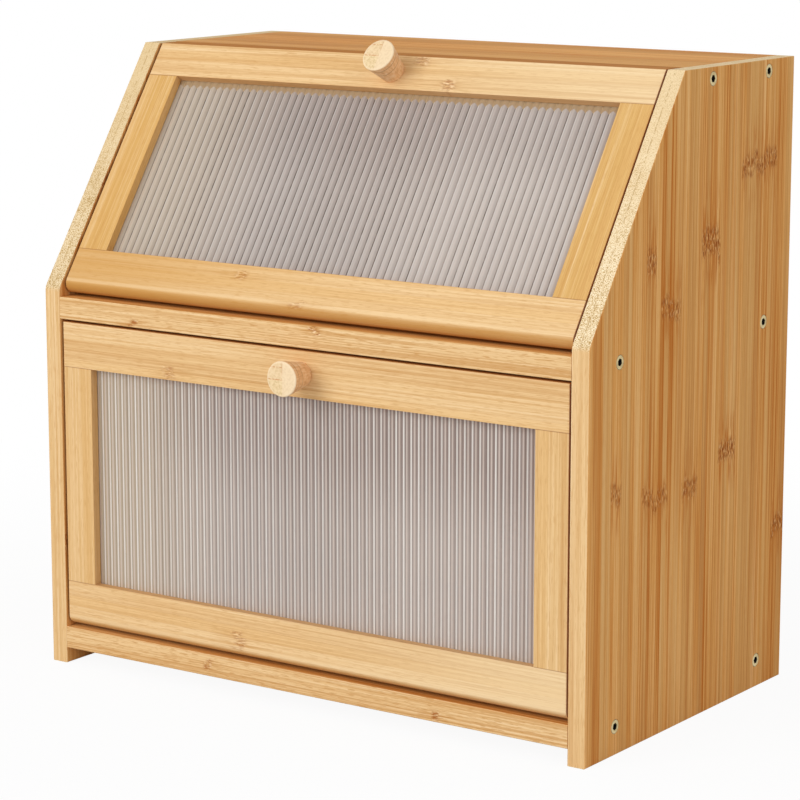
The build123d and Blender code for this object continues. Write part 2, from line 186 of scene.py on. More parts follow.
class Graph:
    """The nodes of a material or a world."""

    def __init__(self, tree: bpy.types.NodeTree) -> None:
        """Empties a node tree and writes into it.

        Args:
            tree: The node tree of a material or a world.
        """
        self.tree = tree
        tree.nodes.clear()

    def node(
        self,
        kind: str,
        settings: Mapping[str, Any] | None = None,
        values: Mapping[str | int, Any] | None = None,
    ) -> bpy.types.Node:
        """Adds any node.

        Args:
            kind: The node's type.
            settings: Its settings, set before its sockets. "stops" is a ramp's list of stops.
            values: What its input sockets hold, by name or number: a term, a socket or a value.

        Returns:
            The node.
        """
        node = self.tree.nodes.new(kind)
        for key, value in (settings or {}).items():
            if key == "stops":
                elements = node.color_ramp.elements
                while len(elements) < len(value):
                    elements.new(0.5)
                for element, (position, colour) in zip(elements, value):
                    element.position = position
                    element.color = (*colour, 1.0)
            else:
                setattr(node, key, value)
        for key, value in (values or {}).items():
            socket = node.inputs[key]
            source = value.socket if isinstance(value, Term) else value
            if isinstance(source, bpy.types.NodeSocket):
                self.tree.links.new(source, socket)
            elif isinstance(value, tuple) and len(value) == 3 and socket.type == "RGBA":
                socket.default_value = (*value, 1.0)
            else:
                socket.default_value = value
        return node

    def dot(self, vector: bpy.types.NodeSocket, axis: Sequence[float]) -> Term:
        """How far a vector reaches along an axis.

        Args:
            vector: The vector.
            axis: The axis, scaled by what the result is to be multiplied by.

        Returns:
            The dot product.
        """
        node = self.node(
            "ShaderNodeVectorMath", {"operation": "DOT_PRODUCT"}, {0: vector, 1: tuple(axis)}
        )
        return Term(self, node.outputs["Value"])

    def noise(self, *parts: Any, detail: float = 2.0, roughness: float = 0.5) -> Term:
        """Smooth noise, near 0.5 on average.

        Args:
            *parts: Three coordinates, each already divided by the size of its lumps.
            detail: How many finer layers are added.
            roughness: How strong each finer layer is against the last.

        Returns:
            The noise.
        """
        place = self.node("ShaderNodeCombineXYZ", values=dict(enumerate(parts)))
        node = self.node(
            "ShaderNodeTexNoise",
            {"noise_dimensions": "3D"},
            {"Vector": place.outputs[0], "Scale": 1.0, "Detail": detail, "Roughness": roughness},
        )
        return Term(self, node.outputs[0])

    def stretched(
        self, lump: Lump, across: Term, along: Term, deep: Any, detail: float = 1.0, **how: float
    ) -> Term:
        """Noise whose lumps are drawn out along the strips.

        Args:
            lump: How wide and how long a lump is.
            across: Distance across the strips.
            along: Distance along the strips.
            deep: The third coordinate, already divided.
            detail: How many finer layers are added.
            **how: What else noise takes.

        Returns:
            The noise.
        """
        wide, long = lump
        return self.noise(across / wide, along / long, deep, detail=detail, **how)

    def chance(self, value: Term, seed: float) -> Term:
        """A number from 0 to 1 that is the same wherever value is the same.

        Args:
            value: A whole number, such as a strip's number.
            seed: Gives a different draw.

        Returns:
            The number.
        """
        node = self.node("ShaderNodeTexWhiteNoise", {"noise_dimensions": "1D"}, {"W": value + seed})
        return Term(self, node.outputs["Value"])

    def ramp(self, value: Term, stops: Sequence[tuple[float, Colour]]) -> bpy.types.NodeSocket:
        """A colour that follows a value.

        Args:
            value: Where on the ramp, from 0 to 1.
            stops: Positions and colours.

        Returns:
            The colour.
        """
        return self.node("ShaderNodeValToRGB", {"stops": stops}, {0: value}).outputs[0]

    def blend(self, share: Any, first: Any, second: Any) -> bpy.types.NodeSocket:
        """A colour between two colours.

        Args:
            share: 0 gives the first and 1 the second.
            first: A colour or a colour socket.
            second: A colour or a colour socket.

        Returns:
            The mixed colour.
        """
        node = self.node("ShaderNodeMix", {"data_type": "RGBA"}, {0: share, 6: first, 7: second})
        return node.outputs[2]

    def bump(self, height: Term, distance: float, strength: float = 1.0) -> bpy.types.NodeSocket:
        """A normal that shows small heights.

        Args:
            height: The height, from 0 to 1.
            distance: How high 1 is.
            strength: How much of it shows.

        Returns:
            The normal.
        """
        node = self.node(
            "ShaderNodeBump",
            values={"Height": height, "Distance": distance / MM_PER_M, "Strength": strength},
        )
        return node.outputs[0]

    def seen(self) -> Term:
        """Which rays are seen.

        Returns:
            1 for rays from the eye, through a pane or off a glossy surface, and 0 for the rest.
        """
        path = self.node("ShaderNodeLightPath").outputs
        kinds = ("Is Camera Ray", "Is Transmission Ray", "Is Glossy Ray")
        straight, through, mirrored = (Term(self, path[kind]) for kind in kinds)
        return straight.most(through).most(mirrored)

    def surface(self, values: Mapping[str, Any]) -> None:
        """Ends a material in one Principled surface.

        Args:
            values: What its sockets hold, by name.
        """
        shader = self.node("ShaderNodeBsdfPrincipled", values=values)
        self.node("ShaderNodeOutputMaterial", values={"Surface": shader.outputs[0]})


@dataclass(frozen=True)
class Axes:
    """Where a piece lies: an origin and its three directions, in the rest pose."""

    origin: Vec3 = (0.0, 0.0, 0.0)
    across: Vec3 = (1.0, 0.0, 0.0)
    up: Vec3 = (0.0, 0.0, 1.0)
    out: Vec3 = (0.0, -1.0, 0.0)

    def at(self, x: float, up: float, out: float) -> Vector:
        """The point at a place on these axes.

        Args:
            x: Distance across.
            up: Distance up.
            out: Distance out.

        Returns:
            The point, in the box's own coordinates.
        """
        return (
            Vector(self.origin)
            + x * Vector(self.across)
            + up * Vector(self.up)
            + out * Vector(self.out)
        )

    def points(self, local: np.ndarray) -> np.ndarray:
        """Whole arrays of points on these axes, as points of the box.

        Each point is the origin plus its three numbers times the three directions.

        Args:
            local: An array whose last side holds across, up and out.

        Returns:
            The same array in the box's own coordinates.
        """
        return np.array(self.origin) + local @ np.array([self.across, self.up, self.out])

    def terms(self, graph: Graph) -> tuple[Term, Term, Term]:
        """How far a surface point lies across, up and out, in millimetres.

        Args:
            graph: The graph that reads the place.

        Returns:
            The three distances.
        """
        place = graph.node("ShaderNodeTexCoord").outputs["Object"]
        found = []
        for axis in (self.across, self.up, self.out):
            start = Vector(self.origin).dot(Vector(axis))
            found.append(graph.dot(place, Vector(axis) * MM_PER_M) - start)
        return tuple(found)


BOX = Axes()


# ---------------------------------------------------------------------------------------------
# Bamboo
# ---------------------------------------------------------------------------------------------


@dataclass(frozen=True)
class Knot:
    """A culm's joint, where it crosses some strips: a patch of short dark flecks.

    Its middle line rises by slope for each step across the strips.
    """

    across: float
    along: float
    width: float
    height: float = 7.0
    slope: float = 0.0
    strength: float = 1.0


@dataclass(frozen=True)
class Grain:
    """Laminated bamboo seen along its strips: strips, streaks, hairs, dashes and glue lines.

    strip is a strip's width. The values after it say how strong each kind of mark is.
    """

    pale: Colour
    body: Colour
    dark: Colour
    fleck: Colour
    tint: Colour
    strip: float
    strip_contrast: float
    broad: float
    streak: float
    hair: float
    dash: float
    line: float
    glue: float
    tinted: float
    seed: float = 0.0
    # How wide and how long a lump of each noise is.
    sway_lump: ClassVar[Lump] = (30.0, 260.0)
    broad_lump: ClassVar[Lump] = (17.0, 330.0)
    streak_lump: ClassVar[Lump] = (1.9, 300.0)
    hair_lump: ClassVar[Lump] = (0.7, 100.0)
    dash_lump: ClassVar[Lump] = (0.45, 8.0)
    line_lump: ClassVar[Lump] = (1.5, 420.0)
    ragged_lump: ClassVar[Lump] = (1.4, 5.0)
    fleck_lump: ClassVar[Lump] = (0.85, 4.5)
    light_lump: ClassVar[Lump] = (1.2, 4.0)
    ray_lump: ClassVar[Lump] = (1.0, 26.0)
    # Seeds of the draws that each strip makes.
    tone_draw: ClassVar[float] = 3.7
    tint_draw: ClassVar[float] = 53.9
    seam_draw: ClassVar[float] = 31.3
    step_draw: ClassVar[float] = 77.1
    # How far the strips sway, and how far a knot's middle steps and its sides stray.
    sway_reach: ClassVar[float] = 0.8
    knot_step: ClassVar[float] = 8.0
    knot_stray: ClassVar[float] = 4.0

    def shade(
        self, graph: Graph, across: Term, along: Term, deep: Term, knots: Sequence[Knot] = ()
    ) -> tuple[bpy.types.NodeSocket, Term]:
        """The colour and the height of the grain.

        The tone is 0.5, plus a draw for each strip, plus noise in three widths that is stretched
        along the strips. Dashes, lines, tints and glue lines are laid over it. Knots add flecks in
        a patch, and streaks that fade above and below it.

        Args:
            graph: The material's graph.
            across: Distance across the strips.
            along: Distance along the strips.
            deep: Distance into the board.
            knots: The knots on this face.

        Returns:
            The colour, and a height from 0 to 1 for the bump.
        """
        sway = graph.stretched(self.sway_lump, across, along, deep / 30 + self.seed)
        wavy = across + (sway - 0.5) * self.sway_reach
        number = (across / self.strip).floor()
        draw = graph.chance(number, self.tone_draw + self.seed)
        layer = draw * 9 + self.seed
        broad = graph.stretched(self.broad_lump, wavy, along, deep / 40 + self.seed)
        streak = graph.stretched(
            self.streak_lump, wavy, along, layer + deep / 5, detail=2, roughness=0.6
        )
        hair = graph.stretched(
            self.hair_lump, wavy, along, layer + deep / 2, detail=2, roughness=0.7
        )
        dashes = graph.stretched(self.dash_lump, wavy, along, layer + deep / 0.7)
        dashes = dashes.rise(0.56, 0.66)
        tone = (
            0.5
            + (draw - 0.5) * self.strip_contrast
            + (broad - 0.5) * (2 * self.broad)
            + (streak - 0.5) * (2 * self.streak)
            + (hair - 0.5) * (2 * self.hair)
        )
        colour = graph.ramp(tone, [(0.0, self.dark), (0.5, self.body), (1.0, self.pale)])
        lines = graph.stretched(self.line_lump, wavy, along, layer + deep / 2 + 50)
        colour = graph.blend(lines.fall(0.34, 0.45) * self.line, colour, self.dark)
        tinted = graph.chance(number, self.tint_draw + self.seed).rise(0.35, 0.95) * self.tinted
        colour = graph.blend(tinted * (0.4 + broad * 0.6), colour, self.tint)
        part = (across / self.strip).fract()
        seam = part.least(1.0 - part) * self.strip
        seam_strength = graph.chance(number, self.seam_draw + self.seed).rise(0.3, 1.0)
        glue = seam.fall(0.1, 0.5) * seam_strength * self.glue
        colour = graph.blend(glue.most(dashes * self.dash), colour, self.dark)
        height = streak * 0.4 + hair * 0.6 - glue * 0.5
        if knots:
            colour, height = self.add_knots(graph, across, along, number, colour, height, knots)
        return colour, height

    def add_knots(
        self,
        graph: Graph,
        across: Term,
        along: Term,
        number: Term,
        colour: bpy.types.NodeSocket,
        height: Term,
        knots: Sequence[Knot],
    ) -> tuple[bpy.types.NodeSocket, Term]:
        """Lays the knots over a grain.

        A knot's patch is 1 within half its width across and fades over its height along, from a
        middle line that steps a little from strip to strip. Its fan is the same, but fades over
        more than four times its height.

        Args:
            graph: The material's graph.
            across: Distance across the strips.
            along: Distance along the strips.
            number: The strip's number.
            colour: The grain's colour.
            height: The grain's height.
            knots: The knots.

        Returns:
            The colour and the height with the knots.
        """
        step = (graph.chance(number, self.step_draw) - 0.5) * self.knot_step
        ragged = graph.stretched(self.ragged_lump, across, along, self.seed, detail=2)
        ragged = (ragged - 0.5) * self.knot_stray
        core: Term | None = None
        fan: Term | None = None
        for knot in knots:
            side = abs(across - knot.across) + ragged
            middle = (across - knot.across) * knot.slope + knot.along
            off = abs(along - middle - step)
            inside = side.fall(knot.width / 2 - 1.5, knot.width / 2 + 1) * knot.strength
            patch = inside * off.fall(knot.height * 0.35, knot.height * 1.1)
            spread = inside * off.fall(knot.height * 0.4, knot.height * 4.6)
            core = patch if core is None else core.most(patch)
            fan = spread if fan is None else fan.most(spread)
        flecks = graph.stretched(self.fleck_lump, across, along, self.seed + 5, detail=2)
        flecks = flecks.rise(0.46, 0.56)
        lights = graph.stretched(self.light_lump, across, along, self.seed + 9).rise(0.52, 0.62)
        rays = graph.stretched(self.ray_lump, across, along, self.seed + 13).rise(0.47, 0.6)
        colour = graph.blend(fan * rays * 0.85, colour, self.dark)
        colour = graph.blend(core * 0.22, colour, self.dark)
        colour = graph.blend(core * lights * 0.85, colour, self.pale)
        colour = graph.blend(core * flecks * 0.9, colour, self.fleck)
        return colour, height - core * flecks * 0.6


@dataclass(frozen=True)
class EndGrain:
    """Bamboo cut across its strips: cream, with a fine speckle of cut fibres."""

    pale: Colour = paint(252, 236, 204)
    body: Colour = paint(236, 209, 163)
    spot: Colour = paint(180, 144, 86)
    speck: float = 0.62
    cloud: ClassVar[float] = 14.0

    def shade(
        self, graph: Graph, x: Term, y: Term, z: Term, shadows: Any = 1.0
    ) -> tuple[bpy.types.NodeSocket, Term]:
        """The colour and the height of a cut end.

        Args:
            graph: The material's graph.
            x: The first distance.
            y: The second distance.
            z: The third distance.
            shadows: How dark the cut fibres are.

        Returns:
            The colour, and a height from 0 to 1 for the bump.
        """
        cells, clouds = (
            graph.noise(x / size, y / size, z / size, detail=1) for size in (self.speck, self.cloud)
        )
        tone = cells + (clouds - 0.5) * 0.2
        colour = graph.ramp(tone, [(0.34, self.spot), (0.48, self.body), (0.64, self.pale)])
        return graph.blend(shadows, self.body, colour), cells


HONEY = Grain(
    pale=paint(248, 219, 174),
    body=paint(233, 195, 142),
    dark=paint(200, 146, 84),
    fleck=paint(172, 104, 50),
    tint=paint(232, 187, 121),
    strip=6.4,
    strip_contrast=0.16,
    broad=0.30,
    streak=0.42,
    hair=0.45,
    dash=0.38,
    line=0.22,
    glue=0.18,
    tinted=0.35,
)
AMBER = Grain(
    pale=paint(242, 192, 127),
    body=paint(228, 166, 93),
    dark=paint(192, 112, 42),
    fleck=paint(150, 78, 28),
    tint=paint(214, 168, 106),
    strip=5.2,
    strip_contrast=0.34,
    broad=0.38,
    streak=0.85,
    hair=0.75,
    dash=0.15,
    line=0.5,
    glue=0.55,
    tinted=0.55,
)
CUT_END = EndGrain()
SHADED_CUT_END = EndGrain(
    pale=paint(243, 224, 190), body=paint(226, 198, 150), spot=paint(172, 136, 78)
)


@dataclass(frozen=True)
class Lacquer:
    """The clear satin finish over the bamboo.

    relief is the height of the grain. unevenness is how much rougher a high spot is than a low
    one, and matt how much rougher bare wood is.
    """

    roughness: float = 0.48
    specular: float = 0.04
    relief: ClassVar[float] = 0.06
    unevenness: ClassVar[float] = 0.12
    matt: ClassVar[float] = 0.45

    def finish(self, graph: Graph, colour: Any, height: Term, bare: Any = 0.0) -> None:
        """Puts a colour and a relief under the lacquer.

        Args:
            graph: The material's graph.
            colour: The bamboo's colour.
            height: Its relief.
            bare: Where the lacquer has sunk in and left the wood matt, from 0 to 1.
        """
        smoothest = self.roughness - self.unevenness / 2
        graph.surface(
            {
                "Base Color": colour,
                "Roughness": height * self.unevenness + smoothest + bare * self.matt,
                "Specular IOR Level": self.specular,
                "Normal": graph.bump(height, self.relief),
            }
        )


DOOR_LACQUER = Lacquer()
CASE_LACQUER = Lacquer(roughness=0.6, specular=0.02)
# Dark brown for glue lines, and for painted shade in the gaps at a door's ends.
GLUE_LINE_AND_GAP_SHADE = paint(134, 66, 32)


def new_graph(name: str) -> tuple[bpy.types.Material, Graph]:
    """An empty material.

    Args:
        name: The material's name.

    Returns:
        The material and its graph.
    """
    material = bpy.data.materials.new(name)
    material.use_nodes = True
    return material, Graph(material.node_tree)


@dataclass(frozen=True)
class SidePanelFinish:
    """A side panel: amber faces, honey upright edges and speckled cut edges.

    outer and inner are how far its faces are from the middle of the box.
    """

    name: str
    knots: tuple[Knot, ...]
    outer: float
    inner: float
    kink_height: float
    height: float
    back: float
    seed: float = 0.0
    edge_body: Colour = HONEY.body
    cut_end: EndGrain = CUT_END
    ply_line: Colour = paint(190, 156, 104)

    def build(self) -> bpy.types.Material:
        """Makes the material.

        Returns:
            The material.
        """
        material, graph = new_graph(self.name)
        x, z, out = BOX.terms(graph)
        y = out * -1.0
        grain = replace(AMBER, seed=self.seed)
        face, face_height = grain.shade(graph, y, z, x, self.knots)
        edge, edge_height = replace(HONEY, body=self.edge_body).shade(graph, x, z, y)
        # The cut edge's fibres show more towards the kink.
        low = z.fall(self.kink_height, self.height)
        cut, cut_height = self.cut_end.shade(graph, x, y, z, low * 0.8 + 0.28)
        reach = abs(x)
        # One ply line runs along the middle of the cut edge, and shows as dashes.
        line = abs(reach - (self.outer + self.inner) / 2 + 0.4).fall(0.15, 0.6)
        broken = graph.noise(x / 3, y / 2.2, z / 2.2, detail=1).rise(0.42, 0.55)
        cut = graph.blend(line * broken * 0.7, cut, self.ply_line)
        leaning = z.rise(self.kink_height - 3, self.kink_height + 1)
        leaning = leaning * y.fall(self.back - 1.0, self.back - 0.5)
        ends = leaning.most(z.rise(self.height - 0.5, self.height - 0.2)).most(z.fall(0.2, 0.5))
        edge = graph.blend(ends, edge, cut)
        broadside = reach.rise(self.outer - 0.55, self.outer - 0.25)
        broadside = broadside.most(reach.fall(self.inner + 0.05, self.inner + 0.3))
        colour = graph.blend(broadside, edge, face)
        rim_height = ends * cut_height + (1.0 - ends) * edge_height
        height = broadside * face_height + (1.0 - broadside) * rim_height
        CASE_LACQUER.finish(graph, colour, height)
        return material


@dataclass(frozen=True)
class BoardFinish:
    """A board across the case: amber faces and a honey front edge.

    front is Y of the front edge, at the height top where the edge leans back.
    """

    name: str
    front: float
    knots: tuple[Knot, ...] = ()
    seed: float = 0.0
    lean: float = 0.0
    top: float = 0.0
    # The colour of the painted shade along the leaning edge's top.
    rim: Colour = paint(172, 104, 40)

    def build(self) -> bpy.types.Material:
        """Makes the material.

        Returns:
            The material.
        """
        material, graph = new_graph(self.name)
        x, z, out = BOX.terms(graph)
        y = out * -1.0
        grain = replace(AMBER, seed=self.seed, strip=19.0, glue=0.35)
        face, face_height = grain.shade(graph, y, x, z)
        edge_grain = replace(
            HONEY, seed=self.seed, strip=4.7, glue=0.6, dash=0.7, hair=0.6, line=0.6
        )
        edge, edge_height = edge_grain.shade(graph, z, x, y, self.knots)
        if self.lean:
            # The leaning front edge carries painted shade along its top, at the narrow gap behind
            # the upper door.
            behind = (y - self.front) * math.cos(self.lean) - (z - self.top) * math.sin(self.lean)
            front = behind.fall(0.3, 0.6)
            rim = z.rise(self.top - 3.2, self.top - 1.8)
            edge = graph.blend(rim * 0.85, edge, self.rim)
        else:
            front = y.fall(self.front + 0.5, self.front + 0.8)
        colour = graph.blend(front, face, edge)
        height = front * edge_height + (1.0 - front) * face_height
        CASE_LACQUER.finish(graph, colour, height)
        return material


@dataclass(frozen=True)
class BackPanelFinish:
    """The thin back panel: wide upright strips, a little duller than the sides."""

    name: str
    seed: float = 21.0
    body: Colour = paint(216, 162, 96)
    knot_count: int = 10
    first_knot: float = -168.0
    knot_spacing: float = 37.8
    knot_rows: tuple[float, ...] = (90.0, 255.0, 170.0)

    def build(self) -> bpy.types.Material:
        """Makes the material.

        Returns:
            The material.
        """
        material, graph = new_graph(self.name)
        x, z, out = BOX.terms(graph)
        grain = replace(AMBER, seed=self.seed, strip=21.0, body=self.body)
        knots = []
        for count in range(self.knot_count):
            across = self.first_knot + self.knot_spacing * count
            along = self.knot_rows[count % len(self.knot_rows)]
            knots.append(Knot(across, along, width=19.5, height=6.0))
        colour, height = grain.shade(graph, x, z, out, knots)
        CASE_LACQUER.finish(graph, colour, height)
        return material


class Run(Enum):
    """Which way the strips of a door's member run."""

    RAIL = "rail"
    STILE = "stile"


@dataclass(frozen=True)
class Drift:
    """How a member's wood changes along the door: deeper to the left, paler to the right."""

    left: float = 0.0
    right: float = 0.0
    deeper: Colour = paint(206, 152, 78)
    paler: Colour = paint(250, 228, 186)


@dataclass(frozen=True)
class DoorFinish:
    """A door's rail or stile: honey all round, with speckled rail ends.

    end and window are how far the door's ends and the window's sides are from its middle, and
    joints is where the rails meet the stiles. foot_shade and reveal are shares of painted shade
    under the rounded foot and on the window's inner faces, and drift of the darker and paler wood
    across the door.
    """

    name: str
    axes: Axes
    run: Run
    end: float
    window: float
    joints: tuple[float, float]
    top: float
    knots: tuple[Knot, ...] = ()
    seed: float = 0.0
    drift: Drift = Drift()
    level_top: float | None = None
    foot_shade: float = 0.0
    body: Colour = HONEY.body
    # The colour of painted shade on the window's inner faces and on the top end.
    deep: Colour = paint(184, 118, 54)
    reveal: float = 0.5
    # The colour of the painted shade under the rounded foot.
    foot: Colour = paint(190, 132, 58)

    def build(self) -> bpy.types.Material:
        """Makes the material.

        Returns:
            The material.
        """
        material, graph = new_graph(self.name)
        x, up, out = self.axes.terms(graph)
        grain = replace(HONEY, seed=self.seed, body=self.body)
        if self.run is Run.RAIL:
            colour, height = grain.shade(graph, up, x, out, self.knots)
            cut, cut_height = CUT_END.shade(graph, x, up, out)
            ends = abs(x).rise(self.end - 0.3, self.end - 0.15)
            colour = graph.blend(ends, colour, cut)
            height = ends * cut_height + (1.0 - ends) * height
        else:
            colour, height = grain.shade(graph, x, up, out, self.knots)
        if self.drift.left:
            deeper = x.fall(-self.end, self.end * 0.5) * self.drift.left
            colour = graph.blend(deeper, colour, self.drift.deeper)
        if self.drift.right:
            paler = x.rise(-self.end * 0.3, self.end) * self.drift.right
            colour = graph.blend(paler, colour, self.drift.paler)
        # A glue line shows where a rail meets a stile, and the window's inner faces carry painted
        # shade.
        reach = abs(x)
        off_joint = abs(up - self.joints[0]).least(abs(up - self.joints[1]))
        beside = reach.rise(self.window, self.window + 0.3)
        colour = graph.blend(off_joint.fall(0.1, 0.45) * beside * 0.5, colour, GLUE_LINE_AND_GAP_SHADE)
        if self.run is Run.RAIL:
            inner = off_joint.fall(0.05, 0.2) * (1.0 - beside)
            # The rounded foot has a painted highlight along its curve, and painted shade on its
            # underside below it.
            foot_highlight = up.fall(-0.2, 1.4) * up.rise(-2.0, -0.9)
            colour = graph.blend(foot_highlight * 0.35, colour, HONEY.pale)
            colour = graph.blend(up.fall(-3.8, -1.0) * self.foot_shade, colour, self.foot)
        else:
            inner = reach.fall(self.window + 0.05, self.window + 0.2)
        # The window's inner faces, recessed round the pane, carry painted shade.
        colour = graph.blend(inner * self.reveal, colour, self.deep)
        # The door's ends face the side panels across a narrow gap and carry painted shade.
        colour = graph.blend(reach.rise(self.end - 0.5, self.end - 0.2) * 0.8, colour, GLUE_LINE_AND_GAP_SHADE)
        # The top end, at a narrow gap against the board next to it, carries painted shade and is
        # left matt.
        if self.level_top is None:
            shaded_matt_top = up.rise(self.top - 0.4, self.top - 0.1)
        else:
            shaded_matt_top = BOX.terms(graph)[1].rise(self.level_top - 0.3, self.level_top - 0.1)
        colour = graph.blend(shaded_matt_top * 0.9, colour, self.deep)
        DOOR_LACQUER.finish(graph, colour, height, bare=shaded_matt_top)
        return material


@dataclass(frozen=True)
class KnobFinish:
    """A knob turned from a glued block, its end grain on the face and fine rings on its side."""

    name: str
    axes: Axes
    length: float
    face_radius: float
    seam: Colour = paint(206, 142, 92)
    ring: Colour = paint(160, 100, 54)
    side_pale: Colour = paint(250, 222, 184)
    side_body: Colour = paint(238, 192, 142)
    side_dark: Colour = paint(208, 150, 96)
    left_block: Colour = paint(240, 206, 170)
    right_block: Colour = paint(246, 222, 188)
    # The colour of the painted highlight round the face's rounded edge.
    rim: Colour = paint(250, 226, 190)
    joint: ClassVar[float] = 0.75
    seam_rows: ClassVar[tuple[float, float]] = (-0.55, 6.95)

    def build(self) -> bpy.types.Material:
        """Makes the material.

        The face is two blocks side by side. The left one has two level glue lines, and the right
        one is plain and a little paler. The side has two thin turned rings.

        Returns:
            The material.
        """
        material, graph = new_graph(self.name)
        x, up, out = self.axes.terms(graph)
        right = x.rise(self.joint - 0.15, self.joint + 0.15)
        low_seam, high_seam = self.seam_rows
        row = up.rise(low_seam - 0.05, low_seam + 0.05)
        row = row + up.rise(high_seam - 0.05, high_seam + 0.05)
        draw = graph.chance((1.0 - right) * (row + 1.0), 4.4)
        flat = abs(up - low_seam).least(abs(up - high_seam)).fall(0.1, 0.5)
        broken = graph.noise(x / 1.8, up / 0.8, 3.0, detail=1).rise(0.38, 0.55)
        upright = abs(x - self.joint).fall(0.05, 0.4) * up.rise(1.0, 4.0)
        seams = (flat * broken).most(upright) * (1.0 - right)
        streak = graph.noise(x / 1.0, up / 1.0, out / 9, detail=2, roughness=0.7)
        mottle = graph.noise(x / 3.5, up / 3.5, out / 3, detail=1)
        tone = 0.5 + (streak - 0.5) * 1.1 + (mottle - 0.5) * 0.7
        side = graph.ramp(
            tone, [(0.0, self.side_dark), (0.5, self.side_body), (1.0, self.side_pale)]
        )
        sway = (graph.noise(x / 6, up / 6, 1.0, detail=0) - 0.5) * 2.0
        rings = abs(out - self.length * 0.8 + sway * 0.5).fall(0.08, 0.4)
        rings = rings.most(abs(out - self.length * 0.55 + sway).fall(0.08, 0.4) * 0.8)
        side = graph.blend(rings * 0.7, side, self.ring)
        cut, cells = replace(CUT_END, speck=1.3).shade(graph, x, up, out, shadows=0.25)
        tint = graph.blend(draw * 0.4, cut, self.left_block)
        tint = graph.blend(right * 0.5, tint, self.right_block)
        cut = graph.blend(seams * 0.85, tint, self.seam)
        # A pale ring round the face's rounded edge is a painted highlight.
        around = (x * x + up * up) ** 0.5
        rim = around.rise(self.face_radius - 1.7, self.face_radius - 1.0)
        cut = graph.blend(rim * 0.5, cut, self.rim)
        face = out.rise(self.length - 0.75, self.length - 0.5)
        colour = graph.blend(face, side, cut)
        height = face * cells * 0.4 + (1.0 - face) * (streak - rings * 0.6)
        DOOR_LACQUER.finish(graph, colour, height)
        return material


# ---------------------------------------------------------------------------------------------
# Clear and metal finishes
# ---------------------------------------------------------------------------------------------


@dataclass(frozen=True)
class PaneLook:
    """How the light falls on a pane: how strong its lines are, and the rail's shade on it.

    glint is the white line along the grooves, roll the light on the flutes' left flanks, and
    lift how much white lies over all. The shade is under the top rail, shade_height high.
    """

    right_haze: float = 0.0
    glint: float = 0.9
    crest_line: float = 0.95
    flank_line: float = 0.5
    groove_line: float = 0.0
    roll: float = 0.1
    body_alpha: float = 0.66
    lift: float = 0.0
    shade_height: float = 1.4
    shade: Colour = paint(120, 88, 68)


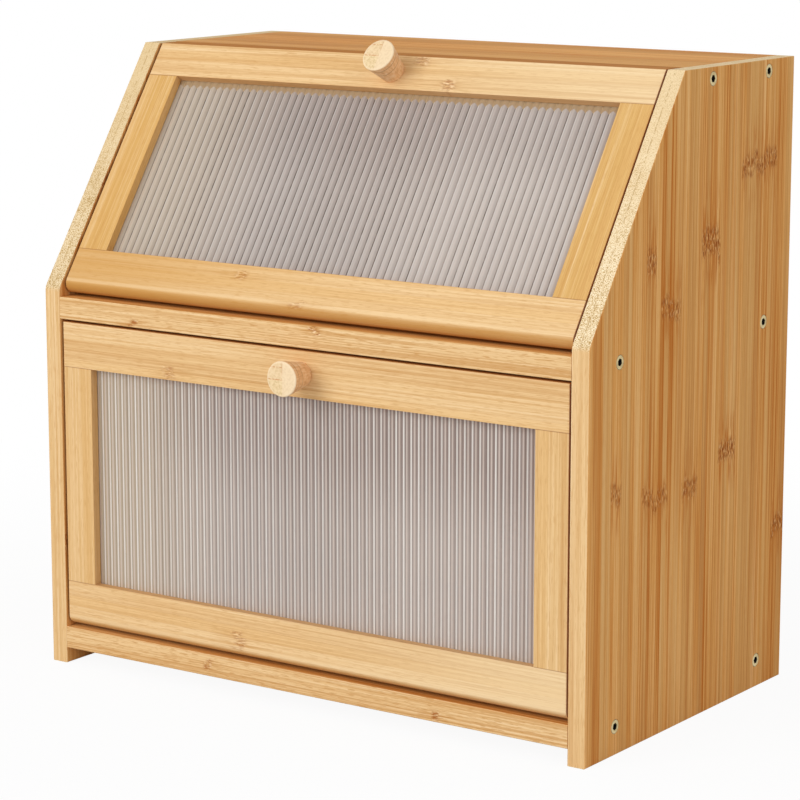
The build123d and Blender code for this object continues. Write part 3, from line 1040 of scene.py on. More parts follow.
@dataclass(frozen=True)
class PaneFinish:
    """Clear fluted acrylic. Its pale and grey lines are painted light, standing in for what each
    flute bends and reflects.
    """

    name: str
    axes: Axes
    look: PaneLook
    start: float
    pitch: float
    valley: float
    half_width: float
    window_top: float
    haze: float
    grey: Colour = paint(172, 155, 147)
    cool: Colour = paint(222, 212, 204)
    beige: Colour = paint(222, 203, 174)
    dark: Colour = paint(104, 88, 80)
    white: Colour = paint(248, 243, 237)
    blush: Colour = paint(238, 222, 211)
    groove: Colour = paint(72, 58, 46)
    roughness: ClassVar[float] = 0.08
    acrylic_ior: ClassVar[float] = 1.49
    back_alpha: ClassVar[float] = 0.06

    def build(self) -> bpy.types.Material:
        """Makes the material.

        The phase runs from 0 to 1 over each flute. Its colour is painted light: each flute has a
        lit flank and a shaded one, a pale line along its crest, thin dark lines on its flanks, and
        a painted white highlight along the groove between two flutes, with or without a dark line
        in its middle. The body drifts between grey, cool white and, towards the left, beige. Under
        the top rail is the rail's painted shadow, whose lower edge is scalloped by the flutes.

        Returns:
            The material.
        """
        material, graph = new_graph(self.name)
        look = self.look
        x, up, out = self.axes.terms(graph)
        turns = (x - self.start) / self.pitch
        phase = turns.fract()
        number = turns.floor()
        crest_off = abs(phase - 0.5) * 2.0
        shift = (graph.chance(number, 8.1) - 0.5) * 0.08
        level = graph.chance(number, 15.7)
        depth = self.window_top - up
        drift = graph.noise(x / 110, up / 160, 2.0, detail=0)
        fine = graph.noise(x / 9, up / 60, 6.0, detail=1)
        # Painted light: the body is paler further below the top rail and, by right_haze, towards
        # the right, and beige towards the left.
        hazy = depth.rise(self.haze * 0.2, self.haze) * 0.55 + (drift - 0.5) * 0.5
        hazy = hazy + x.rise(-self.half_width * 0.2, self.half_width * 0.8) * look.right_haze
        body = graph.blend(hazy, self.grey, self.cool)
        warm = x.fall(-self.half_width * 0.95, -self.half_width * 0.3)
        body = graph.blend(warm * 0.85, body, self.beige)
        body = graph.blend(look.lift, body, self.white)
        # Painted light on each flute's left flank and painted shade on its right one.
        lit = phase.rise(0.05, 0.09) * phase.fall(0.15, 0.3) * (0.5 + level * 0.5)
        unlit = phase.rise(0.4, 0.85)
        body = graph.blend(lit * look.roll, body, self.white)
        body = graph.blend(unlit * (0.25 * look.roll), body, self.dark)
        middle = abs(phase - 0.5 - shift).fall(0.04, 0.16) * (0.5 + fine * 0.5) * look.crest_line
        colour = graph.blend(middle, body, self.blush)
        near = abs(phase - 0.2 + shift).fall(0.02, 0.09) * (0.5 + level * 0.5)
        far = abs(phase - 0.8 + shift).fall(0.02, 0.09) * (0.9 - level * 0.6)
        dark = near.most(far) * look.flank_line
        colour = graph.blend(dark, colour, self.dark)
        # A painted white highlight along each groove.
        white = crest_off.rise(0.70, 0.88) * (0.7 + level * 0.3) * look.glint
        colour = graph.blend(white, colour, self.white)
        broken = graph.noise(x / 2, up / 7, 11.0, detail=1).rise(0.3, 0.6) * 0.3 + 0.7
        groove = phase.rise(0.88, 0.95).most(phase.fall(0.01, 0.05)) * broken
        groove = groove * (1.0 - level * 0.6) * look.groove_line
        colour = graph.blend(groove, colour, self.groove)
        # The top rail's painted shadow, scalloped by the flutes.
        edge = crest_off**1.3 * (look.shade_height * 0.4) + look.shade_height * 0.6
        shaded = (edge - depth).rise(-0.25, 0.35)
        colour = graph.blend(shaded * (0.9 - white * 0.3), colour, look.shade)
        body_alpha = look.body_alpha + white * 0.26 + dark * 0.1 + middle * 0.06 + groove * 0.3
        front = out.rise(self.valley - 0.25, self.valley - 0.05)
        alpha = front * body_alpha + (1.0 - front) * self.back_alpha
        graph.surface(
            {
                "Base Color": colour,
                "Roughness": self.roughness,
                "IOR": self.acrylic_ior,
                "Alpha": alpha,
            }
        )
        return material


@dataclass(frozen=True)
class MetalFinish:
    """Plated or ground metal with fine marks, dark where a screw's recess and rim are shaded."""

    name: str
    colour: Colour
    worn: Colour
    roughness: float
    mark: float = 0.5
    grime: Colour | None = None
    unevenness: ClassVar[float] = 0.2
    relief: ClassVar[float] = 0.01

    def build(self) -> bpy.types.Material:
        """Makes the material.

        Returns:
            The material.
        """
        material, graph = new_graph(self.name)
        x, z, out = BOX.terms(graph)
        fine = graph.noise(x / self.mark, z / self.mark, out / self.mark, detail=2)
        cloud = graph.noise(x / 4, z / 4, out / 4, detail=1)
        colour = graph.blend(cloud.rise(0.4, 0.7), self.colour, self.worn)
        metal: Any = 1.0
        # Painted shade in a screw's recess and round its rim: dark, and not metallic.
        if self.grime is not None:
            read = graph.node("ShaderNodeAttribute", {"attribute_name": RECESS_SHADE_ATTRIBUTE})
            grime = Term(graph, read.outputs["Fac"])
            colour = graph.blend(grime, colour, self.grime)
            metal = 1.0 - grime
        graph.surface(
            {
                "Base Color": colour,
                "Metallic": metal,
                "Roughness": fine * self.unevenness + (self.roughness - self.unevenness / 2),
                "Normal": graph.bump(fine, self.relief),
            }
        )
        return material


# The colour of the painted shade in a screw's recess and round its rim.
RECESS_SHADE_COLOUR = paint(18, 15, 12)
YELLOW_ZINC = MetalFinish(
    "zinc_case_screws", paint(206, 188, 140), paint(184, 164, 116), 0.34, grime=RECESS_SHADE_COLOUR
)
WHITE_ZINC = MetalFinish(
    "zinc_small_screws", paint(205, 203, 198), paint(184, 181, 174), 0.32, grime=RECESS_SHADE_COLOUR
)
NICKEL = MetalFinish("nickel_magnets", paint(206, 206, 208), paint(188, 188, 192), 0.2)
GROUND_STEEL = MetalFinish(
    "ground_pins", paint(196, 196, 198), paint(172, 172, 176), 0.3, mark=0.3
)


# ---------------------------------------------------------------------------------------------
# Meshes
# ---------------------------------------------------------------------------------------------


def grid_faces(rows: int, columns: int, wrap: bool) -> np.ndarray:
    """The four-cornered faces of a grid of points.

    Face (r, c) joins points (r, c), (r, c + 1), (r + 1, c + 1) and (r + 1, c).

    Args:
        rows: How many rows of points.
        columns: How many points in a row.
        wrap: Whether the last point of a row joins the first.

    Returns:
        Four point numbers for each face.
    """
    row = np.arange(rows - 1)[:, None]
    column = np.arange(columns if wrap else columns - 1)[None, :]
    after = (column + 1) % columns
    corners = (row * columns + column, row * columns + after)
    corners += ((row + 1) * columns + after, (row + 1) * columns + column)
    return np.stack(np.broadcast_arrays(*corners), axis=-1).reshape(-1, 4)


def make_piece(
    name: str,
    points: np.ndarray,
    faces: np.ndarray,
    sharp: float = 30.0,
    grime: np.ndarray | None = None,
) -> bpy.types.Object:
    """A closed mesh at the world's origin, smooth but for its sharp edges.

    Args:
        name: The piece's name.
        points: Its points, in millimetres.
        faces: Four point numbers for each face.
        sharp: The least angle, in degrees, of an edge that stays sharp.
        grime: How dark each point's painted shade is, from 0 to 1.

    Returns:
        The new object.
    """
    mesh = bpy.data.meshes.new(name)
    mesh.from_pydata((points.reshape(-1, 3) / MM_PER_M).tolist(), [], faces.tolist())
    if grime is not None:
        layer = mesh.attributes.new(RECESS_SHADE_ATTRIBUTE, "FLOAT", "POINT")
        layer.data.foreach_set("value", grime.ravel().astype(np.float32))
    made = bmesh.new()
    made.from_mesh(mesh)
    bmesh.ops.remove_doubles(made, verts=made.verts, dist=1e-7)
    bmesh.ops.dissolve_degenerate(made, edges=made.edges, dist=1e-8)
    bmesh.ops.recalc_face_normals(made, faces=made.faces)
    made.to_mesh(mesh)
    made.free()
    mesh.shade_smooth()
    mesh.set_sharp_from_angle(angle=math.radians(sharp))
    piece = bpy.data.objects.new(name, mesh)
    bpy.context.scene.collection.objects.link(piece)
    return piece


def dress(piece: bpy.types.Object, material: bpy.types.Material) -> None:
    """Gives a piece one material.

    Args:
        piece: The piece, with or without material slots.
        material: Its material.
    """
    if piece.material_slots:
        for held in piece.material_slots:
            held.material = material
    else:
        piece.data.materials.append(material)


def dress_node(node: str, material: bpy.types.Material) -> None:
    """Gives a CAD node a material and reports it."""
    dress(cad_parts[node], material)
    log.info("dressed %s with %s", node, material.name)


def hand_over(
    piece: bpy.types.Object, node: str, body: str, material: bpy.types.Material
) -> None:
    """Lets a piece stand for a CAD node.

    Args:
        piece: The new piece.
        node: The CAD node it replaces.
        body: The body it rides on.
        material: Its material.
    """
    dress(piece, material)
    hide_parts(node)
    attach(piece, body)
    log.info("built %s for %s: %d faces", piece.name, node, len(piece.data.polygons))


class Drive(Enum):
    """The recess in a screw's head."""

    HEXAGON = "hexagon"
    CROSS = "cross"


@dataclass
class Screw:
    """A countersunk screw, its flat head at the origin and its point down its own axis.

    head and shank are radii. thread is how far the ridge stands out of the core.
    """

    head: float
    shank: float
    length: float
    drive: Drive
    drive_width: float
    drive_depth: float
    pitch: float = 1.8
    thread: float = 0.45
    columns: ClassVar[int] = 48
    rows_in_pitch: ClassVar[int] = 6
    ridge_sharpness: ClassVar[float] = 5.0
    first_turn: ClassVar[float] = 0.3
    turn_step: ClassVar[float] = 0.7
    cross_arm: ClassVar[float] = 0.28

    def recess(self, turn: np.ndarray) -> np.ndarray:
        """How far the recess's outline is from the axis.

        A hexagon's is its half width over the cosine of the angle to the nearest flat. A cross's
        is the smaller of its arm's end and its arm's side.

        Args:
            turn: Angles round the axis.

        Returns:
            The distances.
        """
        half = self.drive_width / 2
        if self.drive is Drive.HEXAGON:
            bent = np.mod(turn + np.pi / 6, np.pi / 3) - np.pi / 6
            return half / np.cos(bent)
        bent = np.mod(turn + np.pi / 4, np.pi / 2) - np.pi / 4
        arm = self.cross_arm * half
        side = arm / np.maximum(np.abs(np.sin(bent)), 1e-3)
        return np.minimum(half / np.cos(bent), np.maximum(side, arm))

    def points(self) -> tuple[np.ndarray, np.ndarray]:
        """The screw's surface, a grid of rows from the recess's middle to the point.

        Each row is a radius for every angle, a depth and how dark its painted shade is: dark in the
        recess and round the rim, where the head dips into its countersink. The thread's rows carry
        a ridge that climbs one pitch in each turn.

        Returns:
            The points, as rows, columns and x, y, z, with the screw pointing down -z, and the
            painted shade of each point.
        """
        turn = np.arange(self.columns) * 2 * np.pi / self.columns
        outline = self.recess(turn)
        ring = np.ones_like(turn)
        neck = self.head - self.shank
        # The third value in each row is how dark its painted shade is.
        rows = [
            (0.0 * ring, -self.drive_depth * 1.15, 1.0),
            (outline * 0.5, -self.drive_depth * 1.08, 1.0),
            (outline * 0.94, -self.drive_depth, 1.0),
            (outline * 0.97, -0.3, 1.0),
            (outline * 1.0, -0.12, 0.85),
            (np.maximum(outline * 1.05, outline + 0.1), -0.02, 0.1),
            (np.maximum(outline * 1.1, outline + 0.2), 0.0, 0.0),
            ((self.head - 0.7) * ring, 0.0, 0.0),
            ((self.head - 0.45) * ring, -0.02, 0.1),
            ((self.head - 0.25) * ring, -0.07, 0.8),
            ((self.head - 0.08) * ring, -0.17, 1.0),
            (self.head * ring, -0.34, 1.0),
            ((self.head - 0.1) * ring, -0.5, 0.6),
            (self.shank * ring, -neck - 0.05, 0.1),
        ]
        start, stop = -neck - 1.0, -self.length + self.shank * 1.6
        steps = max(4, int((start - stop) / self.pitch * self.rows_in_pitch))
        for depth in np.linspace(start, stop, steps):
            phase = np.mod(depth / self.pitch + turn / (2 * np.pi), 1.0)
            ridge = np.clip(1.0 - np.abs(phase - 0.5) * self.ridge_sharpness, 0.0, 1.0)
            rows.append((self.shank - self.thread * (1.0 - ridge), depth, 0.0))
        core = self.shank - self.thread
        rows.append((core * 0.55 * ring, -self.length + self.shank * 0.5, 0.0))
        rows.append((0.0 * ring, -self.length, 0.0))
        radii = np.array([row[0] for row in rows])
        depths = np.array([row[1] for row in rows])[:, None] * np.ones_like(radii)
        grime = np.array([row[2] for row in rows])[:, None] * np.ones_like(radii)
        return np.stack([radii * np.cos(turn), radii * np.sin(turn), depths], axis=-1), grime

    def set(self, name: str, seats: Sequence[tuple[Vector, Vector]]) -> bpy.types.Object:
        """Several screws as one piece, each turned a little differently.

        Args:
            name: The piece's name.
            seats: For each screw, its head's middle and the way the head faces.

        Returns:
            The new object.
        """
        single, grime = self.points()
        rows, columns = single.shape[:2]
        pattern = grid_faces(rows, columns, wrap=True)
        points, faces = [], []
        for count, (place, facing) in enumerate(seats):
            spin = Matrix.Rotation(self.turn_step * count + self.first_turn, 3, "Z")
            aim = Vector((0, 0, 1)).rotation_difference(facing).to_matrix()
            turned = np.array((aim @ spin).transposed())
            points.append(single.reshape(-1, 3) @ turned + np.array(place))
            faces.append(pattern + count * rows * columns)
        return make_piece(
            name,
            np.concatenate(points),
            np.concatenate(faces),
            sharp=35,
            grime=np.tile(grime.ravel(), len(seats)),
        )


# ---------------------------------------------------------------------------------------------
# Sub-assemblies
# ---------------------------------------------------------------------------------------------


DOOR_THICKNESS = 12.0
DOOR_RECESS = 1.0  # from the side panels' front edge back to a door's face
BEVEL_GAP = 1.0  # from a door's back to the top panel's leaning edge
HEAD_GAP = 1.6  # from the lower door's top up to the shelf
FOOT_GAP = 2.0  # from a door's rounded foot down to the board below


@dataclass
class Case:
    """The case: side panels, boards, back panel, stop strip, screws, magnets and pins.

    clearance is the gap under the base board. The side panels' front edge leans back from
    kink_rise above the shelf, by slant_run over slant_rise. The case screws are screw_front and
    screw_back from the side panels' edges and screw_sink below their faces. The back panel laps
    the top panel by back_lap.
    """

    width: float = 400.0
    depth: float = 236.0
    side: float = 12.0
    board: float = 14.0
    clearance: float = 10.0
    lower_opening: float = 199.5
    kink_rise: float = 5.5
    slant_rise: float = 147.0
    slant_run: float = 102.0
    front: float = -108.5
    screw_front: float = 33.4
    screw_back: float = 31.8
    screw_sink: float = 0.3
    screw_length: float = 44.7
    back_screw_length: float = 18.0
    back_lap: float = 8.0
    back_screw_spacing: float = 150.0
    body: str = "case"
    side_knots: tuple[Knot, ...] = (
        Knot(85.8, 329.0, 44.0, 8.0, 0.12, 0.85),
        Knot(27.5, 285.0, 22.0, 11.0, 0.0, 1.0),
        Knot(-41.5, 282.0, 11.0, 10.0, 0.0, 0.9),
        Knot(-18.5, 255.0, 22.0, 8.0, 0.0, 0.8),
        Knot(-78.0, 156.0, 12.0, 8.0, 0.0, 0.8),
        Knot(-34.0, 144.0, 30.0, 7.0, 0.0, 0.7),
        Knot(7.0, 142.0, 18.0, 8.0, 0.0, 0.8),
        Knot(51.7, 161.0, 21.0, 8.0, 0.25, 1.0),
        Knot(119.8, 98.7, 17.0, 8.0, 0.0, 0.9),
    )

    @property
    def back(self) -> float:
        """Y of the back edges."""
        return self.front + self.depth

    @property
    def shelf_bottom(self) -> float:
        """Z of the shelf's underside."""
        return self.clearance + self.board + self.lower_opening

    @property
    def kink(self) -> float:
        """Z where the front edge starts to lean."""
        return self.shelf_bottom + self.board + self.kink_rise

    @property
    def height(self) -> float:
        """Z of the top."""
        return self.kink + self.slant_rise

    @property
    def lean(self) -> float:
        """How far the upper front leans back, in radians."""
        return math.atan2(self.slant_run, self.slant_rise)

    def case_screw_places(self) -> list[tuple[float, float]]:
        """Where the screws in a side panel are.

        Returns:
            Y and Z of each screw, two in line with the middle of each board.
        """
        middles = (
            self.clearance + self.board / 2,
            self.shelf_bottom + self.board / 2,
            self.height - self.board / 2,
        )
        fronts = (0.0, 0.0, self.slant_run)
        places = []
        for run, z in zip(fronts, middles):
            places.append((self.front + run + self.screw_front, z))
            places.append((self.back - self.screw_back, z))
        return places

    def back_screw_places(self) -> list[tuple[float, float]]:
        """Where the screws in the back panel are.

        Returns:
            X and Z of each screw, three along each board.
        """
        middles = (
            self.clearance + self.board / 2,
            self.shelf_bottom + self.board / 2,
            self.height - self.board + self.back_lap / 2,
        )
        return [(x * self.back_screw_spacing, z) for z in middles for x in (-1, 0, 1)]

    def dress_panels(self) -> None:
        """Gives the side panels, the boards and the back panel their bamboo."""
        outer = self.width / 2
        shape = {
            "outer": outer,
            "inner": outer - self.side,
            "kink_height": self.kink,
            "height": self.height,
            "back": self.back,
        }
        right = SidePanelFinish("bamboo_right_side", self.side_knots, seed=0.0, **shape)
        # The left panel's knots are the right one's, turned about and set lower.
        about, lower = 9.0, 21.0
        left_knots = tuple(
            replace(knot, across=about - knot.across, along=knot.along - lower, slope=-knot.slope)
            for knot in self.side_knots
        )
        left = SidePanelFinish(
            "bamboo_left_side",
            left_knots,
            seed=14.0,
            edge_body=paint(226, 186, 130),
            cut_end=SHADED_CUT_END,
            **shape,
        )
        dress_node("right_side_panel", right.build())
        dress_node("left_side_panel", left.build())
        shelf_knots = (Knot(235.4, 10.9, 7.0, 4.0, 0.0, 0.9), Knot(226.0, -127.0, 6.0, 4.0))
        base_knots = (Knot(17.3, -74.9, 7.0, 4.0, 0.0, 0.8), Knot(14.0, 96.0, 6.0, 4.0))
        boards = (
            ("middle_shelf", shelf_knots, 50.0),
            ("base_board", base_knots, 60.0),
            ("stop_strip", (), 70.0),
        )
        for node, knots, seed in boards:
            dress_node(node, BoardFinish(f"bamboo_{node}", self.front, knots, seed).build())
        lean = self.lean
        door_depth = DOOR_RECESS + DOOR_THICKNESS + BEVEL_GAP
        bevel = self.front + self.slant_run + door_depth / math.cos(lean)
        top = BoardFinish("bamboo_top_panel", bevel, seed=40.0, lean=lean, top=self.height)
        dress_node("top_panel", top.build())
        dress_node("back_panel", BackPanelFinish("bamboo_back").build())

    def build_screws(self) -> None:
        """Makes the case screws and the back panel's screws."""
        metal = YELLOW_ZINC.build()
        big = Screw(
            head=4.4,
            shank=2.5,
            length=self.screw_length,
            drive=Drive.HEXAGON,
            drive_width=4.0,
            drive_depth=2.6,
        )
        for side, sign in (("right", 1.0), ("left", -1.0)):
            reach = sign * (self.width / 2 - self.screw_sink)
            seats = [
                (Vector((reach, y, z)), Vector((sign, 0, 0))) for y, z in self.case_screw_places()
            ]
            piece = big.set(f"{side}_socket_screws", seats)
            hand_over(piece, f"{side}_case_screws", self.body, metal)
        small = Screw(
            head=2.9,
            shank=1.5,
            length=self.back_screw_length,
            drive=Drive.CROSS,
            drive_width=3.2,
            drive_depth=1.2,
            pitch=1.2,
            thread=0.3,
        )
        seats = [
            (Vector((x, self.back, z)), Vector((0, 1, 0))) for x, z in self.back_screw_places()
        ]
        piece = small.set("back_cross_screws", seats)
        hand_over(piece, "back_screws", self.body, WHITE_ZINC.build())

    def dress_fittings(self) -> None:
        """Gives the magnets and the hinge pins their metal."""
        magnet, pin = NICKEL.build(), GROUND_STEEL.build()
        for level in ("lower", "upper"):
            dress_node(f"{level}_magnets", magnet)
            dress_node(f"{level}_hinge_pins", pin)

    def build(self) -> None:
        """Makes and dresses the whole case."""
        self.dress_panels()
        self.build_screws()
        self.dress_fittings()


@dataclass
class Door:
    """A framed door that turns about pins in its rounded foot rail.

    Heights are measured up the door from the pins' axis. lip is the frame in front of the pane,
    and groove how deep the pane sits in it. A pane has flutes one pitch apart and flute high, and
    at least margin of plain strip beside the outermost ones.
    """

    name: str
    axes: Axes
    top: float
    foot_rail: float
    top_rail: float
    level_top: float | None = None
    width: float = 373.4
    thickness: float = DOOR_THICKNESS
    stile: float = 22.5
    lip: float = 5.6
    groove: float = 5.0
    pane_thickness: float = 3.0
    pane_fit: float = 0.1
    pane_edge_fit: float = 0.5
    pitch: float = 5.35
    flute: float = 0.8
    margin: float = 0.5
    knob_face: float = 21.9
    knob_base: float = 15.0
    knob_length: float = 20.0
    knob_rim: float = 1.0
    knob_arris: float = 0.15
    screw_length: float = 25.0
    stile_body: Colour = paint(229, 190, 134)
    foot_shade: float = 0.6
    haze_share: float = 0.6
    pane_look: PaneLook = PaneLook()
    rail_knots: tuple[Knot, ...] = ()
    top_drift: Drift = Drift()
    foot_drift: Drift = Drift()
    stile_drift: Drift = Drift(left=0.22)
    seed: float = 0.0
    stile_seed: ClassVar[float] = 4.0
    stile_reveal: ClassVar[float] = 0.2
    arc_steps: ClassVar[int] = 12
    knob_columns: ClassVar[int] = 96
    knob_side_rows: ClassVar[int] = 24
    knob_rim_rows: ClassVar[int] = 9
    knob_face_rows: ClassVar[int] = 8
    knob_cut: ClassVar[float] = 0.02  # how far the smoothed side lies inside the taper

    @property
    def foot(self) -> float:
        """Where the foot rail ends, above the pins."""
        return self.foot_rail - self.thickness / 2

    @property
    def window_top(self) -> float:
        """Where the top rail starts, above the pins."""
        return self.top - self.top_rail

    @property
    def pane_width(self) -> float:
        """The pane's width."""
        return self.width - 2 * self.stile + 2 * (self.groove - self.pane_edge_fit)

    @property
    def flutes(self) -> int:
        """How many flutes the pane has."""
        return math.floor((self.pane_width - 2 * self.margin) / self.pitch)

    @property
    def crest(self) -> float:
        """How far out the flutes' crests lie."""
        return self.thickness / 2 - self.lip - self.pane_fit

    def pane_section(self) -> tuple[np.ndarray, np.ndarray]:
        """The fluted front of the pane, as distances across and out.

        Each flute is an arc over one pitch: with radius R and height h, out is the valley plus
        the root of R squared less x squared, less (R - h).

        Returns:
            The distances across and the distances out.
        """
        half_pitch = self.pitch / 2
        radius = (half_pitch**2 + self.flute**2) / (2 * self.flute)
        valley = self.crest - self.flute
        step = np.linspace(-half_pitch, half_pitch, self.arc_steps + 1)
        rise = np.sqrt(radius**2 - step**2) - (radius - self.flute)
        start = -self.flutes * self.pitch / 2
        middles = start + (np.arange(self.flutes) + 0.5) * self.pitch
        across = (middles[:, None] + step[None, :-1]).ravel()
        out = np.broadcast_to(valley + rise[:-1], (self.flutes, self.arc_steps)).ravel()
        edge = self.pane_width / 2
        across = np.concatenate([[-edge], across, [-start, edge]])
        out = np.concatenate([[valley], out, [valley, valley]])
        return across, out

    def build_pane(self) -> None:
        """Makes the fluted pane: a front and a back that share one line of points across."""
        across, out = self.pane_section()
        back = np.full_like(out, self.crest - self.pane_thickness)
        foot = self.foot - self.groove + self.pane_edge_fit
        top = self.window_top + self.groove - self.pane_edge_fit
        loop_out = np.stack([out, out, back, back, out])
        loop_up = np.array([foot, top, top, foot, foot])[:, None] * np.ones_like(loop_out)
        loop_across = np.broadcast_to(across, loop_out.shape)
        local = np.stack([loop_across, loop_up, loop_out], axis=-1)
        rows, columns = local.shape[:2]
        points = local.reshape(-1, 3)
        faces = grid_faces(rows, columns, wrap=False)
        ends = np.array([[0, 1, 2, 3]]) * columns
        faces = np.concatenate([faces, ends, ends + columns - 1])
        piece = make_piece(f"{self.name}_fluted_pane", self.axes.points(points), faces)
        finish = PaneFinish(
            f"fluted_acrylic_{self.name}",
            self.axes,
            self.pane_look,
            start=-self.flutes * self.pitch / 2,
            pitch=self.pitch,
            valley=self.crest - self.flute,
            half_width=self.width / 2 - self.stile,
            window_top=self.window_top,
            haze=(self.window_top - self.foot) * self.haze_share,
        )
        hand_over(piece, f"{self.name}_pane", self.name, finish.build())

    def build_knob(self) -> None:
        """Makes the turned knob, a profile carried round its axis.

        The side is a straight taper: the base's radius plus the height times the tangent of its
        slope. The rim is an arc of a quarter turn plus the slope, and the face is flat.
        """
        base, face, length = self.knob_base / 2, self.knob_face / 2, self.knob_length
        slope = math.atan2(face - base, length)
        turn = np.linspace(0, np.pi / 2 + slope, self.knob_rim_rows)
        rim_middle = face - self.knob_rim * (1 + math.sin(slope)) / math.cos(slope)
        rim_x = rim_middle + self.knob_rim * np.cos(turn - slope)
        rim_z = length - self.knob_rim + self.knob_rim * np.sin(turn - slope)
        side_z = np.linspace(self.knob_arris, rim_z[0] - 0.1, self.knob_side_rows)
        side_x = base + side_z * math.tan(slope) - self.knob_cut
        face_x = np.linspace(rim_x[-1] * 0.94, 0, self.knob_face_rows)
        face_z = np.full_like(face_x, length)
        radius = np.concatenate([[0, base - self.knob_arris], side_x, rim_x, face_x])
        height = np.concatenate([[0, 0], side_z, rim_z, face_z])
        angle = np.linspace(0, 2 * np.pi, self.knob_columns, endpoint=False)
        local = np.stack(
            np.broadcast_arrays(
                radius[:, None] * np.cos(angle), radius[:, None] * np.sin(angle), height[:, None]
            ),
            axis=-1,
        )
        seat_up = self.top - self.top_rail / 2
        seat = self.axes.at(0, seat_up, self.thickness / 2)
        local_axes = Axes(tuple(seat), self.axes.across, self.axes.up, self.axes.out)
        rows, columns = local.shape[:2]
        piece = make_piece(
            f"{self.name}_turned_knob",
            local_axes.points(local.reshape(-1, 3)),
            grid_faces(rows, columns, wrap=True),
            sharp=40,
        )
        finish = KnobFinish(f"bamboo_{self.name}_knob", local_axes, length, face)
        hand_over(piece, f"{self.name}_knob", self.name, finish.build())

    def build_knob_screw(self, metal: bpy.types.Material) -> None:
        """Makes the screw behind the knob.

        Args:
            metal: The screw's material.
        """
        seat = self.axes.at(0, self.top - self.top_rail / 2, -self.thickness / 2)
        screw = Screw(
            head=3.8,
            shank=2.0,
            length=self.screw_length,
            drive=Drive.CROSS,
            drive_width=4.2,
            drive_depth=1.6,
            pitch=1.4,
            thread=0.35,
        )
        piece = screw.set(f"{self.name}_cross_screw", [(seat, -Vector(self.axes.out))])
        hand_over(piece, f"{self.name}_knob_screw", self.name, metal)

    def dress_frame(self) -> None:
        """Gives the rails and the stiles their bamboo."""
        shape = {
            "axes": self.axes,
            "end": self.width / 2,
            "window": self.width / 2 - self.stile,
            "joints": (self.foot, self.window_top),
            "top": self.top,
            "level_top": self.level_top,
        }
        for part, drift in (("top_rail", self.top_drift), ("foot_rail", self.foot_drift)):
            rail = DoorFinish(
                f"bamboo_{self.name}_{part}",
                run=Run.RAIL,
                knots=self.rail_knots,
                seed=self.seed,
                drift=drift,
                foot_shade=self.foot_shade,
                **shape,
            )
            dress_node(f"{self.name}_{part}", rail.build())
        stile = DoorFinish(
            f"bamboo_{self.name}_stiles",
            run=Run.STILE,
            seed=self.seed + self.stile_seed,
            body=self.stile_body,
            drift=self.stile_drift,
            reveal=self.stile_reveal,
            **shape,
        ).build()
        for part in ("left_stile", "right_stile"):
            dress_node(f"{self.name}_{part}", stile)

    def build(self, screw_metal: bpy.types.Material, strike_metal: bpy.types.Material) -> None:
        """Makes and dresses the whole door.

        Args:
            screw_metal: The knob screw's material.
            strike_metal: The strike plates' material.
        """
        self.dress_frame()
        self.build_pane()
        self.build_knob()
        self.build_knob_screw(screw_metal)
        dress_node(f"{self.name}_strike_plates", strike_metal)


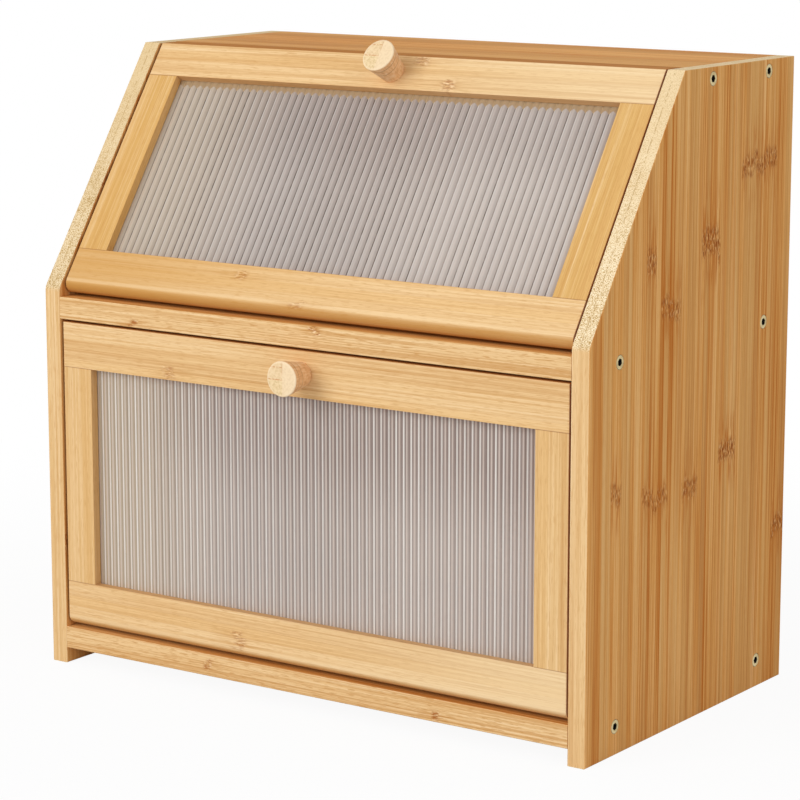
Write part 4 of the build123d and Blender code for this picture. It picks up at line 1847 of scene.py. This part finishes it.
@dataclass
class Studio:
    """The camera, the lamps, the floor and the white surroundings.

    azimuth turns the camera to the right and down tips it, in degrees. ambient is the light from
    all round, key and fill the lamps' watts. The floor's shadow darkens it by floor_shadow at
    most, and is gone where shadow_reach ends.
    """

    camera: Vec3 = (1041.464, -1501.87, 526.646)
    azimuth: float = 34.831
    down: float = 10.887
    lens: float = 134.058
    sensor: float = 36.0
    ambient: float = 0.60
    key: float = 78.0
    key_place: Vec3 = (-1368.0, -3388.0, 1818.0)
    key_size: float = 2500.0
    fill: float = 6.0
    fill_place: Vec3 = (1900.0, -900.0, 900.0)
    fill_size: float = 1400.0
    aim: Vec3 = (0.0, 0.0, 190.0)
    floor_reach: float = 9000.0
    floor_shadow: float = 0.07
    shadow_reach: tuple[float, float] = (300.0, 800.0)
    cloth_grey: float = 0.72
    cloth_white: float = 0.9
    sight: ClassVar[float] = 100000.0

    def place_camera(self) -> None:
        """Puts the camera where the photograph was taken from."""
        data = bpy.data.cameras.new("camera")
        data.sensor_width = self.sensor
        data.lens = self.lens
        data.clip_end = self.sight / MM_PER_M
        camera = bpy.data.objects.new("camera", data)
        camera.location = Vector(self.camera) / MM_PER_M
        camera.rotation_euler = (math.radians(90 - self.down), 0, math.radians(self.azimuth))
        bpy.context.scene.collection.objects.link(camera)
        bpy.context.scene.camera = camera

    def place_lamp(self, name: str, place: Vec3, size: float, watts: float) -> None:
        """Puts up a square soft lamp that faces the box.

        Args:
            name: The lamp's name.
            place: Where it hangs.
            size: Its width and height.
            watts: Its power.
        """
        data = bpy.data.lights.new(name, "AREA")
        data.shape = "SQUARE"
        data.size = size / MM_PER_M
        data.energy = watts
        lamp = bpy.data.objects.new(name, data)
        lamp.location = Vector(place) / MM_PER_M
        facing = Vector(self.aim) - Vector(place)
        lamp.rotation_euler = facing.to_track_quat("-Z", "Y").to_euler()
        bpy.context.scene.collection.objects.link(lamp)

    def paint_world(self) -> None:
        """White to the eye and in reflections, and soft light for everything else."""
        world = bpy.data.worlds.new("surroundings")
        world.use_nodes = True
        graph = Graph(world.node_tree)
        strength = graph.seen() * (1.0 - self.ambient) + self.ambient
        back = graph.node("ShaderNodeBackground", values={"Color": WHITE, "Strength": strength})
        graph.node("ShaderNodeOutputWorld", values={"Surface": back.outputs[0]})
        bpy.context.scene.world = world

    def lay_floor(self) -> None:
        """A pale floor that keeps the box's shadow, and is otherwise white to the eye."""
        corners = np.array([[-1, -1, 0], [1, -1, 0], [1, 1, 0], [-1, 1, 0]]) * self.floor_reach
        floor = make_piece("floor", corners, np.array([[0, 1, 2, 3]]))
        material, graph = new_graph("pale_floor")
        seen = graph.seen()
        below = Term(graph, graph.node("ShaderNodeNewGeometry").outputs["Backfacing"])
        x, z, out = BOX.terms(graph)
        away = (x * x + out * out) ** 0.5
        share = away.rise(*self.shadow_reach) * self.floor_shadow + (1.0 - self.floor_shadow)
        tone = graph.blend(seen, (self.cloth_grey,) * 3, (self.cloth_white,) * 3)
        cloth = graph.node("ShaderNodeBsdfDiffuse", values={"Color": tone})
        glow = graph.node("ShaderNodeEmission", values={"Color": WHITE, "Strength": 1.0})
        clear = graph.node("ShaderNodeBsdfTransparent")
        lit = graph.node(
            "ShaderNodeMixShader",
            values={0: seen * share, 1: cloth.outputs[0], 2: glow.outputs[0]},
        )
        shader = graph.node(
            "ShaderNodeMixShader", values={0: below, 1: lit.outputs[0], 2: clear.outputs[0]}
        )
        graph.node("ShaderNodeOutputMaterial", values={"Surface": shader.outputs[0]})
        dress(floor, material)

    def build(self) -> None:
        """Sets up the whole studio."""
        bpy.context.scene.view_settings.view_transform = "Standard"
        self.place_camera()
        self.place_lamp("key_lamp", self.key_place, self.key_size, self.key)
        self.place_lamp("fill_lamp", self.fill_place, self.fill_size, self.fill)
        self.paint_world()
        self.lay_floor()
        log.info("studio ready: ambient %.2f, key %.0f W", self.ambient, self.key)


def door_axes(case: Case, lean: float, floor: float) -> Axes:
    """A door's axes, with the origin on the pins' axis.

    The door's middle plane lies behind the line of the side panels' front edge by its recess and
    half its thickness.

    Args:
        case: The case that the door belongs to.
        lean: How far the door leans back, in radians.
        floor: Z of the board under the door.

    Returns:
        The axes.
    """
    half = DOOR_THICKNESS / 2
    z = floor + FOOT_GAP + half
    start = (z - case.kink) * math.tan(lean) if lean else 0.0
    y = case.front + start + (DOOR_RECESS + half) / math.cos(lean)
    up = (0.0, math.sin(lean), math.cos(lean))
    return Axes((0.0, y, z), (1.0, 0.0, 0.0), up, (0.0, -math.cos(lean), math.sin(lean)))


def lower_door(case: Case) -> Door:
    """The upright door, between the base board and the shelf.

    Args:
        case: The case that the door belongs to.

    Returns:
        The door.
    """
    axes = door_axes(case, 0.0, case.clearance + case.board)
    return Door(
        "lower_door",
        axes,
        top=case.shelf_bottom - HEAD_GAP - axes.origin[2],
        foot_rail=28.5,
        top_rail=28.5,
        rail_knots=(
            Knot(166.1, -100.8, 9.0, 6.0, strength=0.6),
            Knot(4.2, -51.0, 12.0, 6.0, strength=0.6),
        ),
        foot_drift=Drift(right=0.4),
        seed=3.0,
    )


def upper_door(case: Case) -> Door:
    """The leaning door, whose top is cut level with the case.

    Args:
        case: The case that the door belongs to.

    Returns:
        The door.
    """
    axes = door_axes(case, case.lean, case.shelf_bottom + case.board)
    face_rise = case.height - axes.origin[2] - DOOR_THICKNESS / 2 * math.sin(case.lean)
    return Door(
        "upper_door",
        axes,
        top=face_rise / math.cos(case.lean),
        foot_rail=27.5,
        top_rail=23.5,
        level_top=case.height,
        stile_body=paint(222, 178, 110),
        foot_shade=0.75,
        pane_look=PaneLook(
            right_haze=0.6,
            glint=0.0,
            crest_line=0.2,
            flank_line=0.0,
            groove_line=0.9,
            roll=0.85,
            body_alpha=0.68,
            lift=0.2,
            shade_height=5.0,
            shade=paint(200, 172, 132),
        ),
        top_drift=Drift(right=0.4),
        foot_drift=Drift(left=0.6),
        rail_knots=(
            Knot(14.5, -55.6, 6.0, 6.0, strength=0.8),
            Knot(-1.0, -7.2, 5.0, 7.0, strength=0.8),
            Knot(168.6, 19.0, 7.0, 7.0, strength=0.8),
            Knot(152.7, 40.8, 8.0, 7.0, strength=0.9),
        ),
        seed=8.0,
    )


def main() -> None:
    """Builds the studio, the case and both doors."""
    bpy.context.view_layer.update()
    Studio().build()
    case = Case()
    case.build()
    screw_metal = replace(WHITE_ZINC, name="zinc_knob_screws").build()
    strike_metal = replace(GROUND_STEEL, name="ground_strikes").build()
    for door in (lower_door(case), upper_door(case)):
        door.build(screw_metal, strike_metal)
    log.info("size file written")


if __name__ == "__main__":
    logging.basicConfig(level=logging.INFO, format="%(message)s")
    main()
